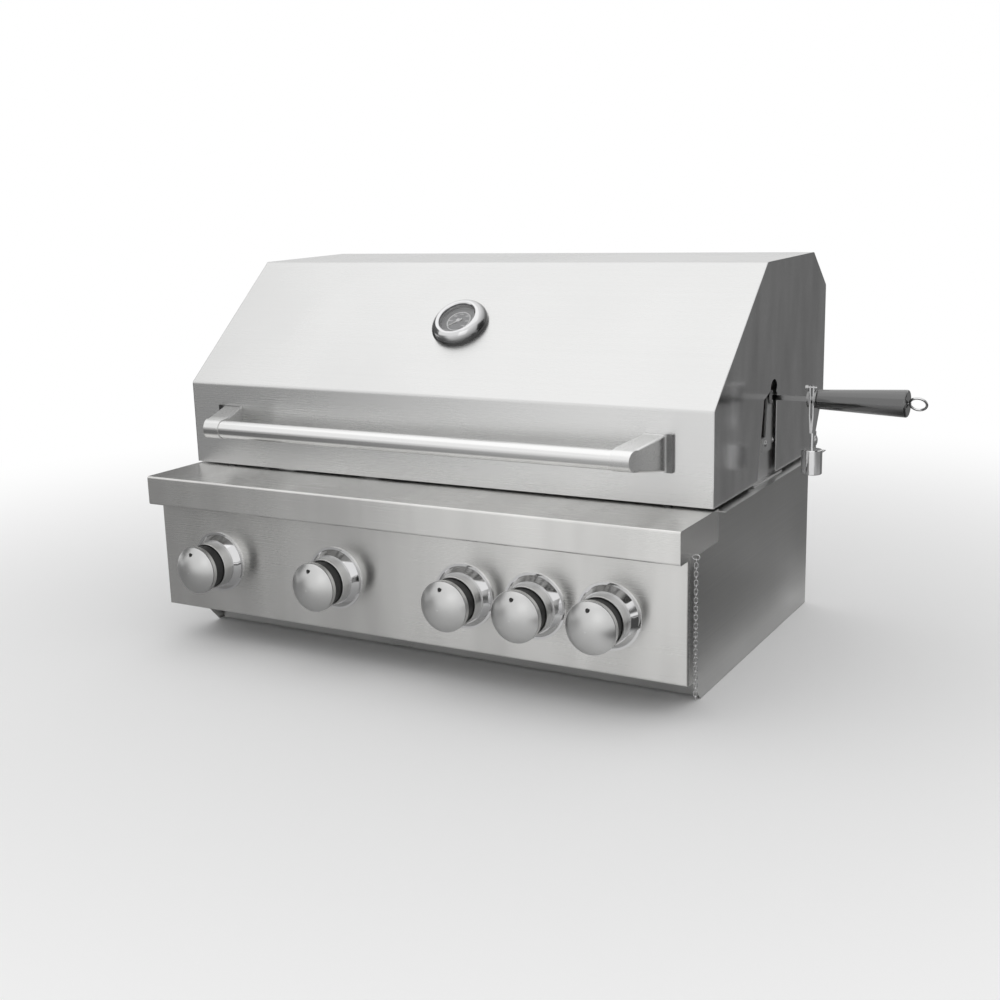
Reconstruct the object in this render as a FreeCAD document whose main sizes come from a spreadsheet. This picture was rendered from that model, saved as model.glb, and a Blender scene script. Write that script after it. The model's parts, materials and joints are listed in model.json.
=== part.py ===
import FreeCAD, Part
import math
import os

import Sketcher

# Built-in gas grill with a rotisserie spit, in millimetres.
# The origin is the middle of the base, on the surface that carries it.
# +X is the user's right, +Y points to the back and +Z is up.

Vector = FreeCAD.Vector
Rotation = FreeCAD.Rotation
Placement = FreeCAD.Placement

DRIVING_SIZES = [
    # Hood
    ("hood_width", 800.0, "Outside width of the hood"),
    ("hood_depth", 453.0, "Front wall to back wall"),
    ("hood_front_height", 117.0, "Upright front wall"),
    ("slope_depth", 188.0, "Sloping face, front to back"),
    ("slope_height", 162.0, "Rise of the sloping face"),
    ("roof_depth", 201.0, "Roof, front to back"),
    ("roof_rise", 3.0, "Rise of the roof towards the back"),
    ("rear_chamfer_drop", 49.0, "Fall of the sloping strip behind the roof"),
    ("hood_back_gap", 80.0, "Open height below the hood's back wall"),
    ("hood_sheet", 1.2, "Hood sheet thickness"),
    ("hood_bend", 6.0, "Outside radius of the hood's bends"),
    ("hood_hem", 12.0, "Hem folded in along the hood's free edges"),
    ("sill_height", 241.3, "Hood's lower edge above the base"),
    ("hood_lift", 5.3, "Gap between the rim and the hood"),
    ("corner_cut", 10.0, "Side panel's cut corner, ahead of the hinge"),
    # Hinge
    ("hinge_inset", 38.0, "Hinge axis ahead of the hood's back"),
    ("hinge_rise", 12.0, "Hinge axis above the hood's lower edge"),
    ("hinge_pin_radius", 4.0, "Hinge bolt shank"),
    ("hinge_head_radius", 7.5, "Hinge bolt head"),
    ("hinge_head_height", 4.0, "Hinge bolt head"),
    ("hinge_plate", 3.0, "Hinge bracket thickness"),
    ("hinge_plate_depth", 34.0, "Hinge bracket, front to back"),
    ("hinge_side_gap", 1.0, "Hinge bracket to the hood's side"),
    ("running_clearance", 0.05, "Radial clearance of a turning fit"),
    ("slack", 0.3, "Gap between faces that move past each other"),
    # Hood handle
    ("handle_reach", 58.0, "Handle bar axis ahead of the hood"),
    ("handle_rise", 62.7, "Handle bar axis above the hood's lower edge"),
    ("handle_bar_length", 594.0, "Bar between its brackets"),
    ("handle_bar_radius", 12.25, "Bar outside radius"),
    ("handle_bar_wall", 1.5, "Bar tube wall"),
    ("handle_nose_radius", 13.2, "Bracket nose radius round the bar's axis"),
    ("handle_nose_width", 25.0, "Bracket nose past the bar's end"),
    ("handle_spigot", 12.0, "Bracket plug inside the bar"),
    ("handle_foot_inner", 311.0, "Bracket foot, inner edge from the middle"),
    ("handle_foot_width", 38.0, "Bracket foot width"),
    ("handle_foot_low", 40.3, "Bracket foot, lower edge above the hood's edge"),
    ("handle_foot_height", 46.5, "Bracket foot height"),
    ("handle_foot_edge", 8.0, "Bracket foot past the bracket's outer face"),
    ("handle_foot_plate", 5.0, "Bracket foot thickness"),
    ("handle_arm_round", 3.0, "Bracket edge rounding"),
    ("screw_radius", 2.5, "Screw shank"),
    ("screw_head_radius", 4.5, "Screw head"),
    ("screw_head_height", 2.6, "Screw head"),
    ("screw_length", 12.0, "Screw shank"),
    ("handle_screw_spacing", 24.0, "Between a bracket's two screws"),
    # Thermometer
    ("gauge_up_slope", 127.0, "Gauge centre from the slope's lower bend"),
    ("gauge_radius", 40.0, "Case outside radius at the hood"),
    ("gauge_height", 16.0, "Case height"),
    ("gauge_window", 26.0, "Case opening radius"),
    ("gauge_lip", 2.2, "Front lip that holds the glass"),
    ("gauge_floor", 5.0, "Case floor thickness"),
    ("gauge_glass_thickness", 1.6, "Glass disc"),
    ("gauge_glass_edge", 2.0, "Glass held under the lip"),
    ("gauge_dial_thickness", 1.0, "Dial plate"),
    ("needle_length", 17.5, "Needle tip from its axis"),
    ("needle_tail", 6.0, "Needle's short end"),
    ("needle_rest", 130.0, "Cold needle, degrees anticlockwise from the top of the dial"),
    ("needle_width", 2.6, "Needle at its hub"),
    ("needle_thickness", 0.8, "Needle plate"),
    ("needle_hub_radius", 3.0, "Needle hub"),
    ("needle_shaft_radius", 1.0, "Needle shaft"),
    ("gauge_thread_radius", 5.0, "Threaded neck through the hood"),
    ("gauge_thread_length", 14.0, "Threaded neck"),
    ("gauge_probe_radius", 3.0, "Sensing stem"),
    ("gauge_probe_length", 58.0, "Sensing stem below the neck"),
    ("gauge_nut_size", 17.0, "Lock nut across its flats"),
    ("gauge_nut_height", 5.0, "Lock nut"),
    # Firebox
    ("side_gap", 15.0, "Firebox wall inside the hood's side"),
    ("box_sheet", 1.5, "Firebox sheet thickness"),
    ("flange_reach", 25.0, "Side flange that the firebox hangs by"),
    ("box_back_inset", 13.5, "Firebox back ahead of the hood's back"),
    ("back_upstand", 114.0, "Back panel above the rim"),
    ("bulkhead_inset", 14.5, "Firebox front wall behind the hood's front"),
    ("bulkhead_gap", 8.0, "Front wall above the drip tray"),
    ("cheek_rise", 70.0, "Cut lower front corner of a side panel, height"),
    ("cheek_run", 65.0, "Cut lower front corner of a side panel, depth"),
    ("pan_height", 14.0, "Base pan edge"),
    # Front ledge and control panel
    ("ledge_reach", 106.6, "Ledge front ahead of the hood"),
    ("ledge_height", 38.0, "Ledge front face below the rim"),
    ("ledge_rise", 2.5, "Ledge above the rim"),
    ("ledge_overhang", 0.5, "Ledge past the hood at each end"),
    ("ledge_bend", 3.0, "Ledge front bend, outside radius"),
    ("panel_setback", 25.0, "Control panel behind the ledge's face"),
    ("panel_height", 152.5, "Control panel front"),
    ("panel_return", 18.0, "Control panel folded edge"),
    ("panel_bend", 2.5, "Control panel bend, outside radius"),
    ("stem_hole_radius", 15.0, "Opening in the panel behind a knob"),
    # Knobs
    ("knob_drop", 79.0, "Knob axis below the ledge"),
    ("burner_spacing", 200.0, "Between burners, and between their knobs"),
    ("bezel_radius", 42.5, "Knob bezel flange"),
    ("bezel_flange", 2.0, "Knob bezel flange thickness"),
    ("bezel_height", 10.5, "Knob bezel"),
    ("bezel_land", 3.0, "Flat step round the bezel"),
    ("bezel_rim", 1.6, "Bezel's upper rim"),
    ("collar_radius", 32.0, "Knob collar outside radius"),
    ("collar_wall", 1.4, "Knob collar wall"),
    ("collar_height", 27.0, "Knob collar above the panel"),
    ("core_gap", 1.0, "Knob core inside its collar"),
    ("core_back", 10.0, "Knob core's back edge above the panel"),
    ("core_front", 48.0, "Knob core's front above the panel"),
    ("core_wall", 3.0, "Knob core wall"),
    ("hub_radius", 9.0, "Knob hub"),
    ("hub_back", 15.0, "Knob hub's back above the panel"),
    ("cap_radius", 33.0, "Knob cap rim"),
    ("cap_skirt", 3.0, "Cap rim over the core"),
    ("cap_rim", 2.4, "Cap rim ahead of the core"),
    ("cap_groove", 0.7, "Fine groove between the rim and the dome"),
    ("cap_dome", 14.0, "Height of the domed front"),
    ("pointer_radius", 2.8, "Pointer dimple on the dome"),
    ("pointer_offset", 24.0, "Pointer dimple from the knob's axis"),
    ("pointer_depth", 1.0, "Pointer dimple depth"),
    ("stem_radius", 4.0, "Valve stem"),
    ("stem_flat", 1.2, "Depth of the flat on the stem"),
    ("stem_front", 42.0, "Stem tip above the panel"),
    ("stem_seat", 26.0, "Stem inside the valve"),
    ("knob_travel", 4.0, "Push of the knob"),
    ("key_clearance", 0.1, "Stem in the knob's hub"),
    # Gas train
    ("valve_radius", 12.0, "Valve body"),
    ("valve_length", 40.0, "Valve body"),
    ("valve_front", 22.0, "Valve body behind the panel"),
    ("valve_nose", 8.0, "Valve neck length"),
    ("valve_nose_radius", 8.0, "Valve neck"),
    ("valve_boss_radius", 7.0, "Valve foot on the manifold"),
    ("jet_radius", 5.0, "Jet outside radius"),
    ("jet_length", 23.0, "Jet length"),
    ("manifold_size", 22.0, "Square manifold tube"),
    ("manifold_wall", 2.0, "Manifold tube wall"),
    ("manifold_round", 2.5, "Manifold corner rounding"),
    ("manifold_drop", 24.0, "Manifold axis below the valves"),
    ("manifold_past", 24.0, "Manifold past the end valves"),
    ("inlet_radius", 10.5, "Gas inlet thread"),
    ("inlet_bore", 7.0, "Gas inlet bore"),
    ("inlet_length", 20.0, "Gas inlet thread outside the side panel"),
    ("inlet_collar_radius", 14.0, "Gas inlet collar"),
    ("inlet_gap", 1.0, "Inlet collar clear of its hole and proud of the side panel"),
    # Burners
    ("burner_radius", 12.7, "Burner tube"),
    ("burner_wall", 1.2, "Burner tube wall"),
    ("burner_length", 388.0, "Burner tube"),
    ("venturi_radius", 16.0, "Burner mouth"),
    ("venturi_length", 42.0, "Burner mouth taper"),
    ("jet_overlap", 3.0, "Jet inside the burner's mouth"),
    ("burner_pin_radius", 4.0, "Burner's rear pin"),
    ("burner_pin_length", 14.0, "Burner's rear pin"),
    ("burner_hole_gap", 1.5, "Front wall hole round the burner"),
    ("rail_height", 36.0, "Burner rail"),
    ("pin_clearance", 0.2, "Burner pin in its rail"),
    ("plate_width", 124.0, "Flame tamer"),
    ("plate_rise", 25.0, "Flame tamer ridge above its edges"),
    ("plate_sheet", 1.2, "Flame tamer sheet"),
    ("plate_above_burner", 29.0, "Flame tamer edge above the burner's axis"),
    ("support_reach", 21.0, "Front support angle's shelf"),
    ("rear_support_reach", 42.0, "Rear support angle's shelf"),
    ("rear_end_gap", 22.0, "Tamers and grates short of the back wall"),
    ("pipe_gap", 1.0, "Holes round the rear burner's pipe"),
    ("support_upright", 14.0, "Support angle's upright"),
    ("support_end_gap", 4.0, "Tamers and grates short of the front wall"),
    # Cooking grates
    ("grate_end_gap", 4.5, "Outer grates short of the firebox walls"),
    ("grate_gap", 4.0, "Between grates"),
    ("grate_bar_radius", 4.0, "Grate bar"),
    ("grate_bar_pitch", 17.0, "Between grate bars"),
    ("grate_weld", 1.5, "Grate bar sunk into its cross bar"),
    ("grate_below_rim", 26.0, "Grate bar axis below the rim"),
    # Rear burner
    ("rear_burner_width", 460.0, "Rear burner"),
    ("rear_burner_depth", 35.5, "Rear burner"),
    ("rear_burner_height", 90.0, "Rear burner"),
    ("rear_burner_rise", 19.0, "Rear burner above the rim"),
    ("rear_burner_sheet", 1.2, "Rear burner housing sheet"),
    ("tile_inset", 8.0, "Tile behind the housing's front edge"),
    ("tile_thickness", 14.0, "Ceramic tile"),
    ("pipe_radius", 5.0, "Rear burner pipe"),
    ("pipe_bend", 20.0, "Rear burner pipe bend"),
    ("pipe_from_back", 13.0, "Rear burner pipe ahead of the back panel"),
    # Spit
    ("spit_back", 221.5, "Spit axis behind the hood's front"),
    ("spit_height", 102.9, "Spit axis above the hood's lower edge"),
    ("spit_size", 6.4, "Square spit rod"),
    ("spit_left_reach", 40.0, "Rod past the hood's left side"),
    ("bushing_radius", 9.0, "Spit bushing flange"),
    ("bushing_groove", 6.2, "Spit bushing running surface"),
    ("bushing_flange", 1.6, "Spit bushing flange thickness"),
    ("notch_radius", 14.0, "Rounded top of the hood's spit slot"),
    ("notch_top", 126.5, "Slot top above the hood's edge"),
    ("notch_shoulder", 25.5, "Slot step towards the front"),
    ("notch_shoulder_drop", 7.8, "Slot step slope"),
    ("notch_flare", 22.0, "Slot opening out towards its foot"),
    ("riser_height", 57.0, "Spit riser above the rim"),
    ("riser_front", 70.5, "Spit riser ahead of the spit axis"),
    ("riser_rear", 46.0, "Spit riser behind the spit axis"),
    ("riser_sheet", 2.5, "Spit riser and cradle thickness"),
    ("riser_foot", 6.0, "Spit riser foot on the flange"),
    ("riser_side_gap", 4.0, "Cradle to the hood's side"),
    ("cradle_base_front", 28.0, "Cradle foot ahead of the spit axis"),
    ("cradle_base_rear", 40.0, "Cradle foot behind the spit axis"),
    ("cradle_neck_front", 15.5, "Cradle tongue ahead of the spit axis, at its foot"),
    ("cradle_overlap", 20.0, "Cradle foot over the riser"),
    ("cradle_lip", 3.4, "Cradle wall beside the bushing"),
    ("cradle_screw_spacing", 32.0, "Between a cradle's two screws"),
    ("cradle_screw_front", 16.0, "Front screw ahead of the spit axis"),
    ("cradle_screw_drop", 8.5, "Screws below the riser's top"),
    # Spit handle and balance weight
    ("spool_start", 46.4, "Spool past the hood's right side"),
    ("spool_disc_radius", 11.5, "Spool discs"),
    ("spool_disc", 2.6, "Spool disc thickness"),
    ("spool_hub_radius", 5.8, "Spool hub"),
    ("spool_hub_length", 6.6, "Spool hub between its discs"),
    ("handle_grip_length", 114.7, "Spit handle"),
    ("handle_grip_inner", 12.6, "Spit handle radius next to the spool"),
    ("handle_grip_outer", 17.5, "Spit handle radius at its end"),
    ("handle_grip_round", 2.5, "Spit handle end rounding"),
    ("handle_socket", 60.0, "Rod inside the spit handle"),
    ("ring_radius", 10.4, "Hanging ring, wire centre line"),
    ("ring_wire", 1.6, "Hanging ring wire radius"),
    ("ring_shank", 8.0, "Ring's shank inside the handle"),
    ("ring_tilt", 38.0, "Hanging ring's lean towards the front, degrees"),
    ("arm_width", 14.0, "Balance arm strip"),
    ("arm_sheet", 1.6, "Balance arm strip thickness"),
    ("arm_top", 18.0, "Balance arm above the spit axis"),
    ("arm_straight", 22.0, "Balance arm straight part below the axis"),
    ("arm_join", 44.0, "Balance arm legs meet below the axis"),
    ("arm_stem_radius", 2.4, "Balance arm stem"),
    ("weight_top", 66.0, "Balance weight top below the axis"),
    ("weight_height", 32.5, "Balance weight"),
    ("weight_radius", 13.5, "Balance weight"),
    ("weight_edge", 0.8, "Balance weight edge chamfer"),
    ("clamp_screw_rise", 14.5, "Thumb screw above the spit axis"),
    ("clamp_screw_radius", 1.6, "Thumb screw shank"),
    ("clamp_head_radius", 3.2, "Thumb screw head"),
    ("clamp_head_length", 4.0, "Thumb screw head"),
    ("clamp_nut_length", 2.0, "Thumb screw end"),
    # Spit forks
    ("fork_offset", 185.0, "Fork hub from the middle"),
    ("fork_hub_radius", 11.0, "Fork hub"),
    ("fork_hub_length", 18.0, "Fork hub"),
    ("fork_spread", 32.0, "Prong from the spit axis"),
    ("prong_radius", 2.6, "Fork prong"),
    ("prong_length", 96.0, "Fork prong"),
    ("prong_point", 14.0, "Fork prong's pointed end"),
    ("thumb_radius", 7.0, "Fork thumb screw head"),
    ("thumb_height", 5.0, "Fork thumb screw head"),
    ("thumb_neck", 9.0, "Fork thumb screw neck"),
    # Drip tray
    ("tray_height", 36.0, "Drip tray"),
    ("tray_sheet", 1.2, "Drip tray sheet"),
    ("tray_side_gap", 0.5, "Drip tray beside the pan's edges"),
    ("tray_lip", 11.0, "Drip tray pull"),
    ("tray_front", 10.0, "Drip tray ahead of the front wall"),
    ("tray_back_gap", 8.0, "Drip tray short of the base pan's back edge"),
    ("tray_corner", 8.0, "Drip tray corner radius"),
    # Lighting chain
    ("chain_side_gap", 5.5, "Chain beside the ledge's end"),
    ("chain_back", 35.0, "Chain behind the ledge's face"),
    ("chain_eye_drop", 35.0, "Chain eye below the rim"),
    ("eye_length", 10.0, "Chain eye outside length"),
    ("eye_width", 7.0, "Chain eye outside width"),
    ("chain_wire", 0.65, "Chain wire radius"),
    ("link_length", 8.0, "Chain link outside length"),
    ("link_width", 5.4, "Chain link outside width"),
    ("link_clearance", 0.2, "Play between chain links"),
    ("link_count", 33.0, "Chain links"),
    ("link_turn", 24.0, "Links turned about the chain's axis, degrees"),
    ("eye_shank", 6.0, "Chain eye shank behind the ledge's end"),
    # Rests
    ("bumper_radius", 5.0, "Hood bumper"),
    ("bumper_from_end", 60.0, "Hood bumper from the hood's side"),
]


class Size:
    """A dimension: its value and the formula that ties it to the sheet of sizes."""

    def __init__(self, value, formula):
        self.value = float(value)
        self.formula = formula

    def __add__(self, other):
        other = as_size(other)
        return Size(self.value + other.value, f"({self.formula} + {other.formula})")

    def __sub__(self, other):
        other = as_size(other)
        return Size(self.value - other.value, f"({self.formula} - {other.formula})")

    def __mul__(self, other):
        other = as_size(other)
        return Size(self.value * other.value, f"({self.formula} * {other.formula})")

    def __truediv__(self, other):
        other = as_size(other)
        return Size(self.value / other.value, f"({self.formula} / {other.formula})")

    def __neg__(self):
        return Size(-self.value, f"(0 - {self.formula})")

    __radd__ = __add__
    __rmul__ = __mul__


def as_size(number):
    """A plain number as a Size, so that both can stand in one formula."""
    if isinstance(number, Size):
        return number
    return Size(number, f"({float(number):.6f})")


def root_of_squares(first, second):
    total = first * first + second * second
    return Size(math.sqrt(total.value), f"sqrt{total.formula}")


def cosine(degrees):
    return Size(math.cos(math.radians(degrees.value)), f"cos({degrees.formula})")


def sine(degrees):
    return Size(math.sin(math.radians(degrees.value)), f"sin({degrees.formula})")


def dome_radius(half_width, rise):
    """Radius of the sphere whose cap has this half width and rise."""
    return (half_width * half_width + rise * rise) / (rise * 2)


def angle_of(opposite, adjacent):
    """The angle in degrees whose tangent is opposite over adjacent."""
    degrees = math.degrees(math.atan2(opposite.value, adjacent.value))
    return Size(degrees, f"atan2({opposite.formula}; {adjacent.formula})")


document = FreeCAD.newDocument("GasGrill")


def size_sheet():
    """The spreadsheet of driving sizes, and each of them as a Size by its name."""
    sheet = document.addObject("Spreadsheet::Sheet", "Sizes")
    sizes = {}
    for row, (alias, value, words) in enumerate(DRIVING_SIZES, start=1):
        sheet.set(f"A{row}", words)
        sheet.set(f"B{row}", f"{value:g}")
        sheet.setAlias(f"B{row}", alias)
        sizes[alias] = Size(value, f"Sizes.{alias}")
    document.recompute()
    return sizes


class Named:
    """The driving sizes as attributes, such as s.hood_width."""

    def __init__(self, sizes):
        self.__dict__.update(sizes)


s = Named(size_sheet())
nothing = as_size(0)

# Places that several pieces share

hood_half = s.hood_width / 2
hood_front_y = -s.hood_depth / 2
hood_back_y = s.hood_depth / 2
hood_bottom_z = s.sill_height
eave_z = hood_bottom_z + s.hood_front_height
ridge_y = hood_front_y + s.slope_depth
ridge_z = eave_z + s.slope_height
roof_back_y = ridge_y + s.roof_depth
roof_back_z = ridge_z + s.roof_rise
chamfer_z = roof_back_z - s.rear_chamfer_drop
skirt_z = hood_bottom_z + s.hood_back_gap
hinge_y = hood_back_y - s.hinge_inset
hinge_z = hood_bottom_z + s.hinge_rise
slope_length = root_of_squares(s.slope_depth, s.slope_height)
slope_angle = angle_of(s.slope_height, s.slope_depth)
skin_half = hood_half - s.hood_sheet

bar_y = hood_front_y - s.handle_reach
bar_z = hood_bottom_z + s.handle_rise
bar_half = s.handle_bar_length / 2
foot_middle_x = s.handle_foot_inner + s.handle_foot_width / 2
foot_low_z = hood_bottom_z + s.handle_foot_low
foot_middle_z = foot_low_z + s.handle_foot_height / 2

gauge_share = s.gauge_up_slope / slope_length
gauge_y = hood_front_y + s.slope_depth * gauge_share
gauge_z = eave_z + s.slope_height * gauge_share

rim_z = hood_bottom_z - s.hood_lift
box_half = hood_half - s.side_gap
box_inner = box_half - s.box_sheet
box_back_y = hood_back_y - s.box_back_inset
back_panel_front_y = box_back_y - s.box_sheet
bulkhead_y = hood_front_y + s.bulkhead_inset
bulkhead_back_y = bulkhead_y + s.box_sheet
flange_half = box_half + s.flange_reach

ledge_front_y = hood_front_y - s.ledge_reach
ledge_bottom_z = rim_z - s.ledge_height
ledge_top_z = rim_z + s.ledge_rise
under_ledge_z = ledge_top_z - s.box_sheet
ledge_half = hood_half + s.ledge_overhang
panel_y = ledge_front_y + s.panel_setback
panel_bottom_z = ledge_bottom_z - s.panel_height
panel_back_y = panel_y + s.panel_return
knob_z = ledge_bottom_z - s.knob_drop

burner_columns = [s.burner_spacing * step for step in (-1.5, -0.5, 0.5, 1.5)]
rear_knob_x = (burner_columns[2] + burner_columns[3]) / 2
knob_columns = burner_columns[:3] + [rear_knob_x] + burner_columns[3:]

tray_bottom_z = s.box_sheet + s.slack
tray_top_z = tray_bottom_z + s.tray_height

spit_y = hood_front_y + s.spit_back
spit_z = hood_bottom_z + s.spit_height
cradle_outer_x = skin_half - s.riser_side_gap
cradle_inner_x = cradle_outer_x - s.riser_sheet
riser_inner_x = cradle_inner_x - s.riser_sheet
riser_top_z = rim_z + s.riser_height

# Ways of drawing and shaping

ALONG = {"X": "YZ_Plane", "Y": "XZ_Plane", "Z": "XY_Plane"}
TO_FRONT = Rotation(Vector(1, 0, 0), 90)
TO_BACK = Rotation(Vector(1, 0, 0), -90)
TO_RIGHT = Rotation(Vector(0, 1, 0), 90)
TO_LEFT = Rotation(Vector(0, 1, 0), -90)

parts = []


def bind(item, name, size):
    """Ties a property of an object to the sheet."""
    item.setExpression(name, size.formula)


def new_body(label):
    return document.addObject("PartDesign::Body", label)


def origin_plane(body, role):
    return [plane for plane in body.Origin.OriginFeatures if plane.Role == role][0]


def new_sketch(body, axis, start):
    """A sketch square to an axis of its body, at the place start along that axis."""
    sketch = body.newObject("Sketcher::SketchObject", "Outline")
    sketch.AttachmentSupport = [(origin_plane(body, ALONG[axis]), "")]
    sketch.MapMode = "FlatFace"
    offset = -start if axis == "Y" else start
    sketch.AttachmentOffset = Placement(Vector(0, 0, offset.value), Rotation())
    bind(sketch, "AttachmentOffset.Base.z", offset)
    return sketch


def curve_between(here, there, radius, turn):
    """An arc between two points; turn is 1 anticlockwise and -1 clockwise."""
    if turn < 0:
        return curve_between(there, here, radius, 1)
    chord = there - here
    rise = math.sqrt(max(radius ** 2 - chord.Length ** 2 / 4, 0))
    side = Vector(-chord.y, chord.x, 0).normalize()
    centre = (here + there) / 2 + side * rise
    first = math.atan2(here.y - centre.y, here.x - centre.x)
    last = math.atan2(there.y - centre.y, there.x - centre.x)
    return Part.ArcOfCircle(Part.Circle(centre, Vector(0, 0, 1), radius), first, last)


def arc(u, v, radius, turn):
    """A corner of an outline that an arc leads on from."""
    return (as_size(u), as_size(v), as_size(radius), turn)


def pin_point(sketch, edge, end, u, v):
    """Ties a point of a sketch to its two distances from the sketch's origin."""
    for kind, size in (("DistanceX", u), ("DistanceY", v)):
        index = sketch.addConstraint(Sketcher.Constraint(kind, -1, 1, edge, end, size.value))
        bind(sketch, f"Constraints[{index}]", size)


def draw(sketch, outline):
    """A closed outline through its corners, every corner tied to the sheet."""
    corners = [tuple(as_size(u) for u in corner[:2]) for corner in outline]
    points = [Vector(u.value, v.value, 0) for u, v in corners]
    count = len(outline)
    first = sketch.GeometryCount
    ends = []
    for index, corner in enumerate(outline):
        here = points[index]
        there = points[(index + 1) % count]
        if len(corner) == 2:
            sketch.addGeometry(Part.LineSegment(here, there), False)
            ends.append((1, 2))
            continue
        radius, turn = corner[2:]
        edge = sketch.addGeometry(curve_between(here, there, radius.value, turn), False)
        ends.append((1, 2) if turn > 0 else (2, 1))
        fixed = sketch.addConstraint(Sketcher.Constraint("Radius", edge, radius.value))
        bind(sketch, f"Constraints[{fixed}]", radius)
    for index in range(count):
        after = (index + 1) % count
        joint = (first + index, ends[index][1], first + after, ends[after][0])
        sketch.addConstraint(Sketcher.Constraint("Coincident", *joint))
    for index, (u, v) in enumerate(corners):
        pin_point(sketch, first + index, ends[index][0], u, v)


def draw_circle(sketch, u, v, radius):
    u, v, radius = as_size(u), as_size(v), as_size(radius)
    circle = Part.Circle(Vector(u.value, v.value, 0), Vector(0, 0, 1), radius.value)
    edge = sketch.addGeometry(circle, False)
    pin_point(sketch, edge, 3, u, v)
    fixed = sketch.addConstraint(Sketcher.Constraint("Radius", edge, radius.value))
    bind(sketch, f"Constraints[{fixed}]", radius)


def rectangle(u_low, v_low, u_high, v_high):
    return [(u_low, v_low), (u_high, v_low), (u_high, v_high), (u_low, v_high)]


def round_hole(u, v, radius):
    return ("circle", u, v, radius)


def sketch_of(body, axis, start, shapes):
    """One sketch with each of the shapes, which are outlines or round holes."""
    sketch = new_sketch(body, axis, as_size(start))
    for shape in shapes:
        if shape[0] == "circle":
            draw_circle(sketch, *shape[1:])
        else:
            draw(sketch, shape)
    return sketch


def extrude(body, axis, start, length, *shapes):
    """Adds the shapes as a solid from start along the axis."""
    sketch = sketch_of(body, axis, start, shapes)
    pad = body.newObject("PartDesign::Pad", "Pad")
    pad.Profile = sketch
    pad.Reversed = axis == "Y"
    bind(pad, "Length", as_size(length))
    document.recompute()
    return pad


def cut(body, axis, start, length, *shapes):
    """Takes the shapes away from start along the axis."""
    before = body.Shape.Volume
    sketch = sketch_of(body, axis, start, shapes)
    pocket = body.newObject("PartDesign::Pocket", "Pocket")
    pocket.Profile = sketch
    pocket.Reversed = axis != "Y"
    bind(pocket, "Length", as_size(length))
    document.recompute()
    if body.Shape.Volume >= before:
        raise ValueError(f"{body.Label}: a cut takes nothing away")
    return pocket


def spin(body, outline):
    """Adds the outline, given as radius and height, turned about the body's Z axis."""
    sketch = sketch_of(body, "Y", nothing, [outline])
    turned = body.newObject("PartDesign::Revolution", "Turned")
    turned.Profile = sketch
    turned.ReferenceAxis = (sketch, ["V_Axis"])
    turned.Angle = 360
    document.recompute()
    return turned


def edges_where(body, test):
    """Names of the edges that pass the test, for rounding them."""
    return [f"Edge{n}" for n, edge in enumerate(body.Shape.Edges, start=1) if test(edge)]


def faces_where(body, test):
    return [f"Face{n}" for n, face in enumerate(body.Shape.Faces, start=1) if test(face)]


def round_edges(body, radius, test):
    solid = body.Tip
    names = edges_where(body, test)
    rounded = body.newObject("PartDesign::Fillet", "Rounded")
    rounded.Base = (solid, names)
    bind(rounded, "Radius", as_size(radius))
    document.recompute()
    return rounded


def hollow(body, wall, test):
    """Turns the solid into a shell of the wall's thickness, open at the faces that pass."""
    solid = body.Tip
    names = faces_where(body, test)
    shell = body.newObject("PartDesign::Thickness", "Shell")
    shell.Base = (solid, names)
    shell.Reversed = True
    shell.Join = "Intersection"
    bind(shell, "Value", as_size(wall))
    document.recompute()
    return shell


def runs_along(axis):
    """A test for straight edges that run along an axis."""
    def test(edge):
        if not isinstance(edge.Curve, Part.Line):
            return False
        return abs(edge.Curve.Direction.dot(axis)) > 0.999
    return test


def faces_to(*directions):
    """A test for flat faces whose outward normal is one of the directions."""
    def test(face):
        if not isinstance(face.Surface, Part.Plane):
            return False
        normal = face.normalAt(0, 0)
        return any(normal.dot(direction) > 0.999 for direction in directions)
    return test


def at_any(places, tolerance=0.01):
    """A test for edges whose middle lies at one of the (y, z) places."""
    def test(edge):
        middle = edge.CenterOfMass
        for y, z in places:
            if abs(middle.y - y.value) < tolerance and abs(middle.z - z.value) < tolerance:
                return True
        return False
    return test


def both(first, second):
    return lambda item: first(item) and second(item)


RIGHT, BACK, UP = Vector(1, 0, 0), Vector(0, 1, 0), Vector(0, 0, 1)


def place(body, x=0, y=0, z=0, turn=None):
    """Puts a body at its place, its three distances tied to the sheet."""
    target = [as_size(value) for value in (x, y, z)]
    base = Vector(*[size.value for size in target])
    body.Placement = Placement(base, turn or Rotation())
    for name, size in zip("xyz", target):
        bind(body, f"Placement.Base.{name}", size)
    return body


def place_on_slope(body):
    """Stands a body on the hood's slope at the gauge, its Z axis square to the sheet."""
    place(body, nothing, gauge_y, gauge_z, Rotation(RIGHT, slope_angle.value))
    bind(body, "Placement.Rotation.Angle", slope_angle)
    return body


def keep(item):
    """Lists an object as a sub-part to be written out under its label."""
    parts.append(item)
    return item


def keep_group(label, bodies):
    """Several like solids as one sub-part."""
    group = document.addObject("Part::Compound", label)
    group.Links = bodies
    return keep(group)


def keep_shape(label, shape):
    """A sub-part whose shape is worked out directly."""
    feature = document.addObject("Part::Feature", label)
    feature.Shape = shape
    feature.Placement = Placement()
    return keep(feature)


def side_start(side, inner, outer):
    """Lower X of a span that lies between inner and outer on one side."""
    return inner if side > 0 else -outer


SIDES = (("left", -1), ("right", 1))

# Hood

hood_line = [
    (hood_front_y, hood_bottom_z),
    (hood_front_y, eave_z),
    (ridge_y, ridge_z),
    (roof_back_y, roof_back_z),
    (hood_back_y, chamfer_z),
    (hood_back_y, skirt_z),
]


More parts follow.
